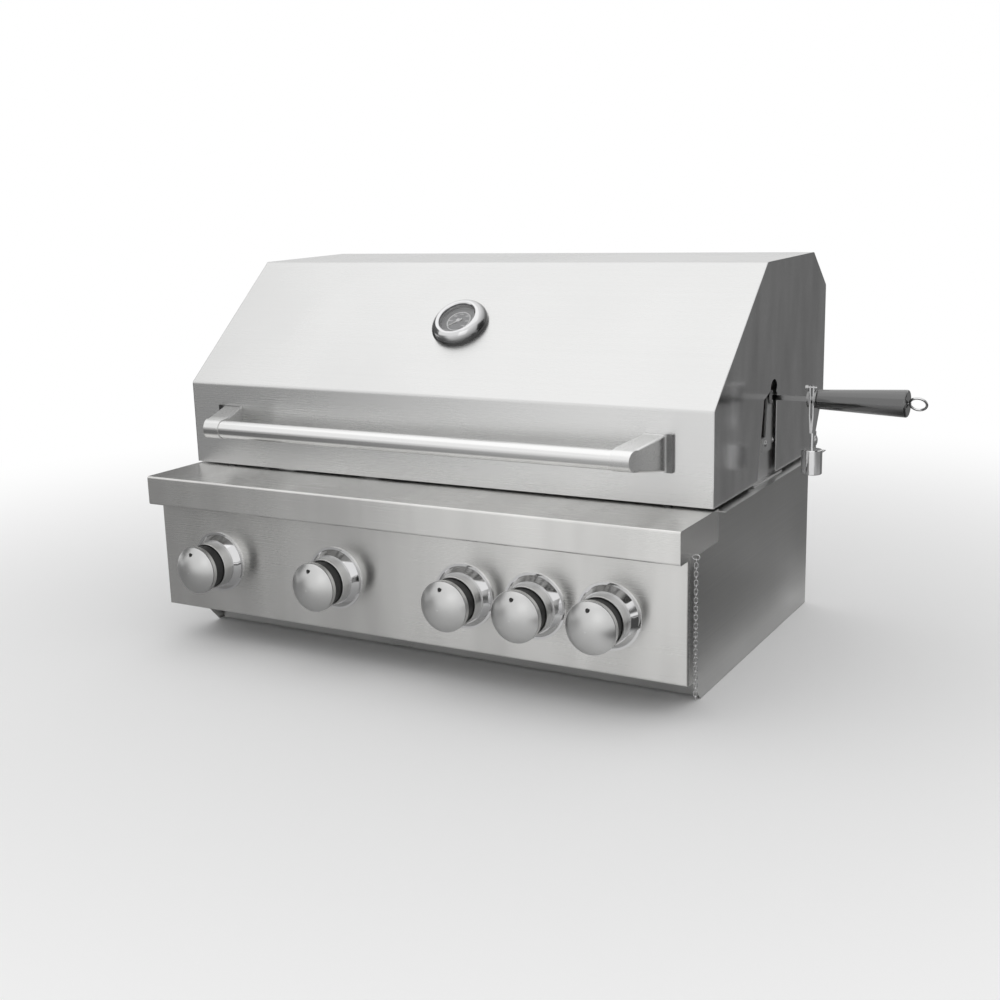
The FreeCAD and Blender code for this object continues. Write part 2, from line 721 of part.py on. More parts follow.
def hood_skin():
    """Front, slope, roof and back, folded from one sheet between the two side panels."""
    body = new_body("hood_skin")
    inner = [(hinge_y, skirt_z), (hinge_y, hood_bottom_z)]
    extrude(body, "X", -skin_half, skin_half * 2, hood_line + inner)
    round_edges(body, s.hood_bend, both(runs_along(RIGHT), at_any(hood_line[1:5])))
    ends_or_below = faces_to(RIGHT, -RIGHT, -UP)
    to_back = faces_to(BACK)

    def open_face(face):
        """The ends, the underside and the step below the back wall."""
        if to_back(face):
            return face.CenterOfMass.y < hood_back_y.value - s.hood_sheet.value
        return ends_or_below(face)

    hollow(body, s.hood_sheet, open_face)
    hem_top_z = hood_bottom_z + s.hood_sheet
    front_hem = rectangle(hood_front_y, hood_bottom_z, hood_front_y + s.hood_hem, hem_top_z)
    extrude(body, "X", -skin_half, skin_half * 2, front_hem)
    back_hem = rectangle(hood_back_y - s.hood_hem / 2, skirt_z, hood_back_y, skirt_z + s.hood_sheet)
    extrude(body, "X", -skin_half, skin_half * 2, back_hem)
    screw_holes = [round_hole(x, z, s.screw_radius) for x, z in handle_screw_places()]
    cut(body, "Y", hood_front_y, s.hood_sheet, *screw_holes)
    sketch = sketch_of(body, "Z", nothing, [round_hole(0, 0, s.gauge_thread_radius)])
    sketch.AttachmentOffset = Placement(
        Vector(0, gauge_y.value, gauge_z.value), Rotation(RIGHT, slope_angle.value))
    bind(sketch, "AttachmentOffset.Base.y", gauge_y)
    bind(sketch, "AttachmentOffset.Base.z", gauge_z)
    bind(sketch, "AttachmentOffset.Rotation.Angle", slope_angle)
    hole = body.newObject("PartDesign::Pocket", "GaugeHole")
    hole.Profile = sketch
    bind(hole, "Length", s.hood_sheet * 2)
    keep(body)


def handle_screw_places():
    """X and Z of the four screws that hold the handle brackets."""
    half = s.handle_screw_spacing / 2
    return [(foot_middle_x * side, foot_middle_z + half * way) for side in (-1, 1) for way in (-1, 1)]


def hood_side(label, side):
    """End panel of the hood, with the slot that drops over the spit."""
    body = new_body(label)
    spring_z = hood_bottom_z + s.notch_top - s.notch_radius
    shoulder = (spit_y - s.notch_radius - s.notch_shoulder, spring_z - s.notch_shoulder_drop)
    slot = [
        (spit_y + s.notch_radius, hood_bottom_z),
        arc(spit_y + s.notch_radius, spring_z, s.notch_radius, 1),
        arc(spit_y, spring_z + s.notch_radius, s.notch_radius, 1),
        (spit_y - s.notch_radius, spring_z),
        shoulder,
        (shoulder[0] - s.notch_flare, hood_bottom_z),
    ]
    corner = [(hinge_y - s.corner_cut, hood_bottom_z)]
    start = side_start(side, skin_half, hood_half)
    extrude(body, "X", start, s.hood_sheet, hood_line + corner + slot)
    round_edges(body, s.hood_bend, both(runs_along(RIGHT), at_any(hood_line[1:5])))
    hinge_hole = round_hole(hinge_y, hinge_z, s.hinge_pin_radius + s.running_clearance)
    cut(body, "X", start, s.hood_sheet, hinge_hole)
    keep(body)


def handle_bar():
    """Tube that the hood is lifted by."""
    body = new_body("handle_bar")
    outer = round_hole(bar_y, bar_z, s.handle_bar_radius)
    inner = round_hole(bar_y, bar_z, s.handle_bar_radius - s.handle_bar_wall)
    extrude(body, "X", -bar_half, s.handle_bar_length, outer, inner)
    keep(body)


def handle_bracket(label, side):
    """Cast bracket: a round nose that closes the bar's end and widens to a foot on the hood."""
    body = new_body(label)
    nose = s.handle_nose_radius
    nose_y = bar_y - nose
    outer_x = s.handle_foot_inner + s.handle_foot_width
    foot_high_z = foot_low_z + s.handle_foot_height
    outline = [
        (hood_front_y, foot_low_z),
        (hood_front_y, foot_high_z),
        arc(bar_y, bar_z + nose, nose, 1),
        arc(nose_y, bar_z, nose, 1),
        (bar_y, bar_z - nose),
    ]
    blank_inner = bar_half - s.handle_nose_width * 2
    blank_outer = outer_x + s.handle_nose_width
    extrude(body, "X", side_start(side, blank_inner, blank_outer), blank_outer - blank_inner, outline)
    outside = [
        ((bar_half + s.handle_nose_width) * side, nose_y),
        ((outer_x - s.handle_foot_edge) * side, hood_front_y),
        (blank_outer * side, hood_front_y),
        (blank_outer * side, nose_y),
    ]
    inside = [
        (bar_half * side, nose_y),
        (bar_half * side, bar_y + nose),
        (s.handle_foot_inner * side, hood_front_y),
        (blank_inner * side, hood_front_y),
        (blank_inner * side, nose_y),
    ]
    cut(body, "Z", foot_low_z, s.handle_foot_height, outside)
    cut(body, "Z", foot_low_z, s.handle_foot_height, inside)
    round_edges(body, s.handle_arm_round, slants)
    foot_start = side_start(side, s.handle_foot_inner, outer_x)
    foot = rectangle(foot_start, foot_low_z, foot_start + s.handle_foot_width, foot_high_z)
    extrude(body, "Y", hood_front_y - s.handle_foot_plate, s.handle_foot_plate, foot)
    spigot_start = side_start(side, bar_half - s.handle_spigot, bar_half)
    spigot_radius = s.handle_bar_radius - s.handle_bar_wall
    extrude(body, "X", spigot_start, s.handle_spigot, round_hole(bar_y, bar_z, spigot_radius))
    for x, z in handle_screw_places():
        if x.value * side > 0:
            cut(body, "Y", hood_front_y - s.screw_length, s.screw_length, round_hole(x, z, s.screw_radius))
    return body


def slants(edge):
    """Whether a straight edge runs from front to back, past the bar's end."""
    if not isinstance(edge.Curve, Part.Line):
        return False
    start, end = edge.Vertexes[0].Point, edge.Vertexes[-1].Point
    past_bar = abs(edge.CenterOfMass.x) > bar_half.value + s.slack.value
    return past_bar and abs((end - start).y) > s.handle_foot_plate.value


def screw(label, shank):
    """Pan head screw with its head at Z 0 and above, and its shank below."""
    body = new_body(label)
    edge = s.screw_head_height / 3
    dome = dome_radius(s.screw_head_radius, s.screw_head_height - edge)
    profile = [
        (0, -shank),
        (s.screw_radius, -shank),
        (s.screw_radius, 0),
        (s.screw_head_radius, 0),
        arc(s.screw_head_radius, edge, dome, 1),
        (0, s.screw_head_height),
    ]
    spin(body, profile)
    return body


def handle_screws():
    """Screws from inside the hood into the handle brackets."""
    inside_y = hood_front_y + s.hood_sheet
    bodies = []
    for number, (x, z) in enumerate(handle_screw_places(), start=1):
        body = screw(f"handle_screw_{number}", s.screw_length + s.hood_sheet)
        bodies.append(place(body, x, inside_y, z, TO_BACK))
    return bodies


# Thermometer in the hood's slope

glass_top = s.gauge_height - s.gauge_lip
glass_bottom = glass_top - s.gauge_glass_thickness
glass_radius = s.gauge_window + s.gauge_glass_edge
dial_top = s.gauge_floor + s.gauge_dial_thickness
needle_bottom = dial_top + s.slack * 3


def gauge_case():
    """Round case whose thick rim leans in to the window, on a threaded neck with the sensing stem."""
    body = new_body("gauge_case")
    crown = s.gauge_window + s.gauge_lip * 2
    base_land = s.gauge_lip * 2
    tip = -s.gauge_thread_length - s.gauge_probe_length
    profile = [
        arc(0, tip, s.gauge_probe_radius, 1),
        (s.gauge_probe_radius, tip + s.gauge_probe_radius),
        (s.gauge_probe_radius, -s.gauge_thread_length),
        (s.gauge_thread_radius, -s.gauge_thread_length),
        (s.gauge_thread_radius, 0),
        (s.gauge_radius, 0),
        arc(s.gauge_radius, base_land, s.gauge_height * 1.1, 1),
        arc(crown, s.gauge_height, s.gauge_lip * 2, 1),
        (s.gauge_window, s.gauge_height - s.gauge_lip / 2),
        (s.gauge_window, glass_top),
        (glass_radius, glass_top),
        (glass_radius, glass_bottom),
        (s.gauge_window, glass_bottom),
        (s.gauge_window, s.gauge_floor),
        (0, s.gauge_floor),
    ]
    spin(body, profile)
    keep(place_on_slope(body))


def gauge_glass():
    body = new_body("gauge_glass")
    extrude(body, "Z", glass_bottom, s.gauge_glass_thickness, round_hole(0, 0, glass_radius))
    keep(place_on_slope(body))


def gauge_dial():
    """Printed plate under the glass, with a bush for the needle's shaft."""
    body = new_body("gauge_dial")
    bush = round_hole(0, 0, s.needle_shaft_radius + s.running_clearance)
    extrude(body, "Z", s.gauge_floor, s.gauge_dial_thickness, round_hole(0, 0, s.gauge_window), bush)
    keep(place_on_slope(body))


def gauge_needle():
    """Pointer with a short tail, its shaft in the dial's bush."""
    body = new_body("gauge_needle")
    half = s.needle_width / 2
    straight_up = rectangle(-half, -s.needle_tail, half, s.needle_length)
    straight_up[2:] = [(half / 4, s.needle_length), (-half / 4, s.needle_length)]
    level = cosine(s.needle_rest)
    rise = sine(s.needle_rest)
    pointer = [(u * level - v * rise, u * rise + v * level) for u, v in straight_up]
    extrude(body, "Z", needle_bottom, s.needle_thickness, pointer)
    extrude(body, "Z", needle_bottom, s.needle_thickness * 2, round_hole(0, 0, s.needle_hub_radius))
    shaft = needle_bottom - s.gauge_floor - s.slack
    extrude(body, "Z", s.gauge_floor + s.slack, shaft, round_hole(0, 0, s.needle_shaft_radius))
    keep(place_on_slope(body))


def hexagon(across_flats):
    """Outline of a nut, flats to the left and right."""
    half = across_flats / 2
    point = across_flats * (1 / math.sqrt(3))
    low = point / 2
    return [(half, -low), (half, low), (0, point), (-half, low), (-half, -low), (0, -point)]


def gauge_nut():
    body = new_body("gauge_nut")
    low = -s.hood_sheet - s.gauge_nut_height
    thread = round_hole(0, 0, s.gauge_thread_radius)
    extrude(body, "Z", low, s.gauge_nut_height, hexagon(s.gauge_nut_size), thread)
    return place_on_slope(body)


# Hinges and rests of the hood


def hinge_bracket(label, side):
    """Angle on the rim whose upright carries the hinge bolt inside the hood's end panel."""
    body = new_body(label)
    outer = skin_half - s.hinge_side_gap
    inner = outer - s.hinge_plate
    top = hinge_z + s.hinge_head_radius * 1.5
    angle = [
        (box_half * side, rim_z),
        (outer * side, rim_z),
        (outer * side, top),
        (inner * side, top),
        (inner * side, rim_z + s.hinge_plate),
        (box_half * side, rim_z + s.hinge_plate),
    ]
    extrude(body, "Y", hinge_y - s.hinge_plate_depth / 2, s.hinge_plate_depth, angle)
    hole = round_hole(hinge_y, hinge_z, s.hinge_pin_radius)
    cut(body, "X", side_start(side, inner, outer), s.hinge_plate, hole)
    return body


def hinge_bolt(label, side):
    """Shoulder bolt through an end panel of the hood, with its nut inside the bracket."""
    body = new_body(label)
    bracket_face = -s.hood_sheet - s.hinge_side_gap
    nut_face = bracket_face - s.hinge_plate
    nut_end = nut_face - s.hinge_head_height
    edge = s.hinge_head_height / 2
    dome = dome_radius(s.hinge_head_radius, s.hinge_head_height - edge)
    profile = [
        (0, nut_end),
        (s.hinge_head_radius - s.hinge_side_gap, nut_end),
        (s.hinge_head_radius - s.hinge_side_gap, nut_face),
        (s.hinge_pin_radius, nut_face),
        (s.hinge_pin_radius, s.slack),
        (s.hinge_head_radius, s.slack),
        arc(s.hinge_head_radius, s.slack + edge, dome, 1),
        (0, s.slack + s.hinge_head_height),
    ]
    spin(body, profile)
    return place(body, hood_half * side, hinge_y, hinge_z, TO_RIGHT if side > 0 else TO_LEFT)


def hood_bumpers():
    """Rubber buttons on the ledge that the closed hood rests on."""
    bodies = []
    for name, side in SIDES:
        body = new_body(f"hood_bumper_{name}")
        x = (hood_half - s.bumper_from_end) * side
        spot = round_hole(x, hood_front_y + s.hood_hem / 2, s.bumper_radius)
        extrude(body, "Z", ledge_top_z, s.hood_lift - s.ledge_rise - s.slack, spot)
        bodies.append(body)
    keep_group("hood_bumpers", bodies)


# Firebox


def firebox_side(label, side):
    """Side wall that runs forward to the control panel, with the flange that hangs it."""
    body = new_body(label)
    wall = [
        (panel_back_y, s.cheek_rise),
        (panel_back_y + s.cheek_run, 0),
        (box_back_y, 0),
        (box_back_y, rim_z),
        (bulkhead_back_y, rim_z),
        (bulkhead_back_y, under_ledge_z),
        (panel_back_y, under_ledge_z),
    ]
    start = side_start(side, box_inner, box_half)
    extrude(body, "X", start, s.box_sheet, wall)
    flange = rectangle(bulkhead_back_y, rim_z - s.box_sheet, box_back_y, rim_z)
    extrude(body, "X", side_start(side, box_half, flange_half), s.flange_reach, flange)
    if side < 0:
        hole = round_hole(manifold_y, manifold_z, s.inlet_collar_radius + s.inlet_gap)
        cut(body, "X", start, s.box_sheet, hole)
    keep(body)


def back_panel():
    """Back wall, standing up behind the rear burner inside the hood."""
    body = new_body("back_panel")
    wall = rectangle(-box_inner, 0, box_inner, rim_z + s.back_upstand)
    extrude(body, "Y", back_panel_front_y, s.box_sheet, wall)
    keep(body)


def front_bulkhead():
    """Firebox front wall with the openings for the burners and the rear burner's pipe."""
    body = new_body("front_bulkhead")
    low = tray_top_z + s.bulkhead_gap
    extrude(body, "Y", bulkhead_y, s.box_sheet, rectangle(-box_inner, low, box_inner, under_ledge_z))
    holes = [round_hole(x, knob_z, s.venturi_radius + s.burner_hole_gap) for x in burner_columns]
    holes.append(round_hole(rear_knob_x, knob_z, s.pipe_radius + s.burner_hole_gap))
    cut(body, "Y", bulkhead_y, s.box_sheet, *holes)
    keep(body)


def base_pan():
    """Floor of the firebox, with low edges that guide the drip tray."""
    body = new_body("base_pan")
    floor = rectangle(-box_inner, bulkhead_y, box_inner, back_panel_front_y)
    extrude(body, "Z", nothing, s.pan_height, floor)
    hollow(body, s.box_sheet, faces_to(UP, -BACK))
    keep(body)


def drip_tray():
    """Shallow tray that slides out below the control panel."""
    body = new_body("drip_tray")
    half = box_inner - s.box_sheet - s.tray_side_gap
    front = bulkhead_y - s.tray_front
    back = back_panel_front_y - s.box_sheet - s.tray_back_gap
    extrude(body, "Z", tray_bottom_z, s.tray_height, rectangle(-half, front, half, back))
    round_edges(body, s.tray_corner, runs_along(UP))
    hollow(body, s.tray_sheet, faces_to(UP))
    lip = rectangle(-half / 2, front - s.tray_lip, half / 2, front + s.tray_sheet)
    extrude(body, "Z", tray_top_z - s.tray_sheet, s.tray_sheet, lip)
    keep(body)


# Ledge and control panel


def front_ledge():
    """Folded ledge across the front, its rear edge under the hood."""
    body = new_body("front_ledge")
    section = rectangle(ledge_front_y, ledge_bottom_z, bulkhead_back_y, ledge_top_z)
    extrude(body, "X", -ledge_half, ledge_half * 2, section)
    inside = [
        (ledge_front_y + s.box_sheet, ledge_bottom_z + s.box_sheet),
        (panel_back_y, ledge_bottom_z + s.box_sheet),
        (panel_back_y, ledge_bottom_z),
        (bulkhead_back_y, ledge_bottom_z),
        (bulkhead_back_y, under_ledge_z),
        (ledge_front_y + s.box_sheet, under_ledge_z),
    ]
    inner_half = ledge_half - s.box_sheet
    cut(body, "X", -inner_half, inner_half * 2, inside)
    front_bends = [(ledge_front_y, ledge_top_z), (ledge_front_y, ledge_bottom_z)]
    round_edges(body, s.ledge_bend, both(runs_along(RIGHT), at_any(front_bends)))
    eye_hole = round_hole(chain_y, chain_eye_z, s.chain_wire + s.running_clearance)
    cut(body, "X", inner_half, s.box_sheet, eye_hole)
    keep(body)


def control_panel():
    """Panel with folded edges that carries the bezels and covers the valves."""
    body = new_body("control_panel")
    front = rectangle(-ledge_half, panel_bottom_z, ledge_half, ledge_bottom_z)
    extrude(body, "Y", panel_y, s.panel_return, front)
    inside = rectangle(
        -ledge_half + s.box_sheet,
        panel_bottom_z + s.box_sheet,
        ledge_half - s.box_sheet,
        ledge_bottom_z - s.box_sheet)
    cut(body, "Y", panel_y + s.box_sheet, s.panel_return - s.box_sheet, inside)
    round_edges(body, s.panel_bend, lambda edge: edge.BoundBox.YMax < panel_y.value + 0.01)
    cut(body, "Y", panel_y, s.box_sheet, *[round_hole(x, knob_z, s.stem_hole_radius) for x in knob_columns])
    keep(body)


# Knobs, with Z measured out from the control panel


def at_panel(body, x):
    return place(body, x, panel_y, knob_z, TO_FRONT)


def knob_bezel(number, x):
    """Turned ring: a polished flange that steps in to the satin collar the knob runs in."""
    body = new_body(f"knob_bezel_{number}")
    inner = s.collar_radius - s.collar_wall
    edge = s.collar_wall / 3
    profile = [
        (inner, 0),
        (s.bezel_radius, 0),
        (s.bezel_radius, s.bezel_flange),
        (s.bezel_radius - s.bezel_land, s.bezel_flange),
        (s.collar_radius + s.bezel_rim, s.bezel_height),
        (s.collar_radius, s.bezel_height),
        (s.collar_radius, s.collar_height - edge),
        (s.collar_radius - edge, s.collar_height),
        (inner, s.collar_height),
    ]
    spin(body, profile)
    return at_panel(body, x)


core_radius = s.collar_radius - s.collar_wall - s.core_gap


def keyed_shape(radius, flat):
    """Round outline with one flat, as on a valve stem."""
    reach = radius - flat
    half = Size(
        math.sqrt(radius.value ** 2 - reach.value ** 2),
        f"sqrt({radius.formula} ^ 2 - {reach.formula} ^ 2)")
    return [arc(-half, reach, radius, 1), arc(0, -radius, radius, 1), (half, reach)]


def knob_core(number, x):
    """Black moulding inside the cap, with the hub for the stem."""
    body = new_body(f"knob_core_{number}")
    wall_inner = core_radius - s.core_wall
    web_back = s.core_front - s.core_wall
    profile = [
        (0, s.hub_back),
        (s.hub_radius, s.hub_back),
        (s.hub_radius, web_back),
        (wall_inner, web_back),
        (wall_inner, s.core_back),
        (core_radius, s.core_back),
        (core_radius, s.core_front),
        (0, s.core_front),
    ]
    spin(body, profile)
    depth = s.stem_front + s.knob_travel + s.slack - s.hub_back
    cut(body, "Z", s.hub_back, depth, keyed_shape(s.stem_radius + s.key_clearance, s.stem_flat))
    keep(at_panel(body, x))


def knob_cap(number, x):
    """Domed metal cap over the core, with a fine groove behind the dome and a pointer dimple."""
    body = new_body(f"knob_cap_{number}")
    rim_front = s.core_front + s.cap_rim
    dome_edge = s.cap_radius - s.cap_groove
    dome_back = rim_front + s.cap_groove
    dome_curve = dome_radius(dome_edge, s.cap_dome)
    profile = [
        (0, s.core_front),
        (core_radius, s.core_front),
        (core_radius, s.core_front - s.cap_skirt),
        (s.cap_radius, s.core_front - s.cap_skirt),
        (s.cap_radius, rim_front),
        (dome_edge - s.cap_groove, rim_front),
        (dome_edge - s.cap_groove, dome_back),
        arc(dome_edge, dome_back, dome_curve, 1),
        (0, dome_back + s.cap_dome),
    ]
    spin(body, profile)
    centre_z = dome_back + s.cap_dome - dome_curve
    surface = Size(
        centre_z.value + math.sqrt(dome_curve.value ** 2 - s.pointer_offset.value ** 2),
        f"({centre_z.formula} + sqrt({dome_curve.formula} ^ 2 - {s.pointer_offset.formula} ^ 2))")
    cut(body, "Z", surface - s.pointer_depth, s.cap_dome, round_hole(0, s.pointer_offset, s.pointer_radius))
    keep(at_panel(body, x))


valve_back = -s.valve_front - s.valve_length


def valve_stem(number, x):
    """Brass stem from the valve to the knob, with the flat that turns it."""
    body = new_body(f"valve_stem_{number}")
    back = -s.valve_front - s.stem_seat
    key_back = s.hub_back - s.knob_travel - s.slack
    extrude(body, "Z", back, key_back - back, round_hole(0, 0, s.stem_radius))
    extrude(body, "Z", key_back, s.stem_front - key_back, keyed_shape(s.stem_radius, s.stem_flat))
    keep(at_panel(body, x))


def gas_valve(number, x):
    """Brass valve on the manifold, its jet pointing at the burner."""
    body = new_body(f"gas_valve_{number}")
    bore = s.stem_radius + s.running_clearance
    bore_end = -s.valve_front - s.stem_seat - s.slack
    profile = [
        (0, valve_back - s.jet_length),
        (s.jet_radius, valve_back - s.jet_length),
        (s.jet_radius, valve_back),
        (s.valve_radius, valve_back),
        (s.valve_radius, -s.valve_front),
        (s.valve_nose_radius, -s.valve_front),
        (s.valve_nose_radius, -s.valve_front + s.valve_nose),
        (bore, -s.valve_front + s.valve_nose),
        (bore, bore_end),
        (0, bore_end),
    ]
    spin(body, profile)
    foot = s.manifold_drop - s.manifold_size / 2
    boss = round_hole(0, valve_back + s.valve_length / 2, s.valve_boss_radius)
    extrude(body, "Y", -foot, foot - s.stem_radius - s.running_clearance * 2, boss)
    return at_panel(body, x)


def control_knobs():
    """Five knobs: the four burners' and, between the third and the last, the rear burner's."""
    bezels, valves = [], []
    for number, x in enumerate(knob_columns, start=1):
        bezels.append(knob_bezel(number, x))
        valves.append(gas_valve(number, x))
        valve_stem(number, x)
        knob_core(number, x)
        knob_cap(number, x)
    keep_group("knob_bezels", bezels)
    keep_group("gas_valves", valves)


# Gas train

manifold_y = panel_y + s.valve_front + s.valve_length / 2
manifold_z = knob_z - s.manifold_drop
manifold_left = burner_columns[0] - s.manifold_past
manifold_right = burner_columns[3] + s.manifold_past
jet_tip_y = panel_y + s.valve_front + s.valve_length + s.jet_length
burner_mouth_y = jet_tip_y - s.jet_overlap
pipe_y = back_panel_front_y - s.pipe_from_back


def gas_manifold():
    """Square tube that feeds the valves, with the threaded inlet welded into its left end."""
    body = new_body("gas_manifold")
    half = s.manifold_size / 2
    section = rectangle(manifold_y - half, manifold_z - half, manifold_y + half, manifold_z + half)
    length = manifold_right - manifold_left
    extrude(body, "X", manifold_left, length, section)
    round_edges(body, s.manifold_round, runs_along(RIGHT))
    bore = half - s.manifold_wall
    channel = rectangle(manifold_y - bore, manifold_z - bore, manifold_y + bore, manifold_z + bore)
    cut(body, "X", manifold_left + s.manifold_wall, length - s.manifold_wall * 2, channel)
    collar_x = -box_half - s.inlet_gap
    collar = round_hole(manifold_y, manifold_z, s.inlet_collar_radius)
    extrude(body, "X", collar_x, manifold_left - collar_x, collar)
    tip_x = collar_x - s.inlet_length
    thread = round_hole(manifold_y, manifold_z, s.inlet_radius)
    extrude(body, "X", tip_x, collar_x - tip_x, thread)
    way_in = round_hole(manifold_y, manifold_z, s.inlet_bore)
    cut(body, "X", tip_x, manifold_left + s.manifold_wall - tip_x, way_in)
    keep(body)


def burner(number, x):
    """Tube burner with a flared mouth in front and a locating pin behind."""
    body = new_body(f"burner_{number}")
    inner = s.burner_radius - s.burner_wall
    profile = [
        (s.venturi_radius - s.burner_wall, 0),
        (s.venturi_radius, 0),
        (s.burner_radius, s.venturi_length),
        (s.burner_radius, s.burner_length),
        (s.burner_pin_radius, s.burner_length),
        (s.burner_pin_radius, s.burner_length + s.burner_pin_length),
        (0, s.burner_length + s.burner_pin_length),
        (0, s.burner_length - s.burner_wall),
        (inner, s.burner_length - s.burner_wall),
        (inner, s.venturi_length),
    ]
    spin(body, profile)
    return place(body, x, burner_mouth_y, knob_z, TO_BACK)


def burner_rail():
    """Angle on the back panel that holds the burners' pins."""
    body = new_body("burner_rail")
    face = burner_mouth_y + s.burner_length + s.burner_pin_length / 2
    low = knob_z - s.rail_height / 2
    angle = [
        (face, low),
        (back_panel_front_y, low),
        (back_panel_front_y, low + s.box_sheet),
        (face + s.box_sheet, low + s.box_sheet),
        (face + s.box_sheet, low + s.rail_height),
        (face, low + s.rail_height),
    ]
    extrude(body, "X", -box_inner, box_inner * 2, angle)
    pins = [round_hole(x, knob_z, s.burner_pin_radius + s.pin_clearance) for x in burner_columns]
    pipe_hole = round_hole(rear_knob_x, knob_z, s.pipe_radius + s.pipe_gap)
    cut(body, "Y", face, s.box_sheet, pipe_hole, *pins)
    return body


def support_angles(label, shelf_z):
    """Pair of angles, on the front and back walls, whose shelves carry what lies across."""
    low = shelf_z - s.support_upright
    front = [
        (bulkhead_back_y, low),
        (bulkhead_back_y + s.box_sheet, low),
        (bulkhead_back_y + s.box_sheet, shelf_z - s.box_sheet),
        (bulkhead_back_y + s.support_reach, shelf_z - s.box_sheet),
        (bulkhead_back_y + s.support_reach, shelf_z),
        (bulkhead_back_y, shelf_z),
    ]
    rear = [
        (back_panel_front_y, low),
        (back_panel_front_y, shelf_z),
        (back_panel_front_y - s.rear_support_reach, shelf_z),
        (back_panel_front_y - s.rear_support_reach, shelf_z - s.box_sheet),
        (back_panel_front_y - s.box_sheet, shelf_z - s.box_sheet),
        (back_panel_front_y - s.box_sheet, low),
    ]
    bodies = []
    for name, section in (("front", front), ("rear", rear)):
        body = new_body(f"{label}_{name}")
        extrude(body, "X", -box_inner, box_inner * 2, section)
        bodies.append(body)
    pipe_hole = round_hole(rear_knob_x, pipe_y, s.pipe_radius + s.pipe_gap)
    cut(bodies[1], "Z", shelf_z - s.box_sheet, s.box_sheet, pipe_hole)
    return bodies


cross_start_y = bulkhead_back_y + s.support_end_gap
cross_length = back_panel_front_y - s.rear_end_gap - cross_start_y
tamer_z = knob_z + s.plate_above_burner
grate_z = rim_z - s.grate_below_rim
cross_bar_z = grate_z - s.grate_bar_radius * 2 + s.grate_weld
grate_width = (box_inner * 2 - s.grate_end_gap * 2 - s.grate_gap * 2) / 3


def flame_tamers():
    """Folded ridges over the burners that spread the heat."""
    half = s.plate_width / 2
    fall = s.plate_sheet * 1.2
    bodies = []
    for number, x in enumerate(burner_columns, start=1):
        body = new_body(f"flame_tamer_{number}")
        ridge = tamer_z + s.plate_rise
        section = [
            (x - half, tamer_z),
            (x - half + s.plate_sheet, tamer_z),
            (x, ridge - fall),
            (x + half - s.plate_sheet, tamer_z),
            (x + half, tamer_z),
            (x + half, tamer_z + fall),
            (x, ridge),
            (x - half, tamer_z + fall),
        ]
        extrude(body, "Y", cross_start_y, cross_length, section)
        bodies.append(body)
    keep_group("flame_tamers", bodies)


def cooking_grate(label, middle_x):
    """Rod grate: bars from front to back, welded on three cross bars."""
    body = new_body(label)
    left = middle_x - grate_width / 2
    bar_run = grate_width - s.grate_bar_radius * 2
    count = int(bar_run.value // s.grate_bar_pitch.value) + 1
    first_x = middle_x - s.grate_bar_pitch * ((count - 1) / 2)
    cross_places = [
        cross_start_y + s.support_reach / 2,
        cross_start_y + cross_length / 2,
        cross_start_y + cross_length - s.support_reach / 2,
    ]
    for index, y in enumerate(cross_places):
        extrude(body, "X", left, grate_width, round_hole(y, cross_bar_z, s.grate_bar_radius))
        if index == 0:
            rod = round_hole(first_x, grate_z, s.grate_bar_radius)
            bar = extrude(body, "Y", cross_start_y, cross_length, rod)
            row = body.newObject("PartDesign::LinearPattern", "Bars")
            row.Originals = [bar]
            row.Direction = (bar.Profile[0], ["H_Axis"])
            row.Occurrences = count
            bind(row, "Length", s.grate_bar_pitch * (count - 1))
            body.Tip = row
            document.recompute()
    return body


def cooking_grates():
    """Three like grates side by side."""
    step = grate_width + s.grate_gap
    places = (("grate_left", -1), ("grate_middle", 0), ("grate_right", 1))
    keep_group("cooking_grates", [cooking_grate(label, step * way) for label, way in places])


# Rear burner

rear_low_z = rim_z + s.rear_burner_rise
rear_half = s.rear_burner_width / 2
rear_front_y = back_panel_front_y - s.rear_burner_depth


def rear_burner_housing():
    """Open-fronted box on the back panel."""
    body = new_body("rear_burner_housing")
    front = rectangle(-rear_half, rear_low_z, rear_half, rear_low_z + s.rear_burner_height)
    extrude(body, "Y", rear_front_y, s.rear_burner_depth, front)
    hollow(body, s.rear_burner_sheet, faces_to(-BACK))
    inlet = round_hole(rear_knob_x, pipe_y, s.pipe_radius)
    cut(body, "Z", rear_low_z, s.rear_burner_sheet, inlet)
    keep(body)


def rear_burner_tile():
    """Ceramic tile that glows behind the housing's front edge."""
    body = new_body("rear_burner_tile")
    wall = s.rear_burner_sheet
    top = rear_low_z + s.rear_burner_height
    face = rectangle(-rear_half + wall, rear_low_z + wall, rear_half - wall, top - wall)
    extrude(body, "Y", rear_front_y + s.tile_inset, s.tile_thickness, face)
    keep(body)


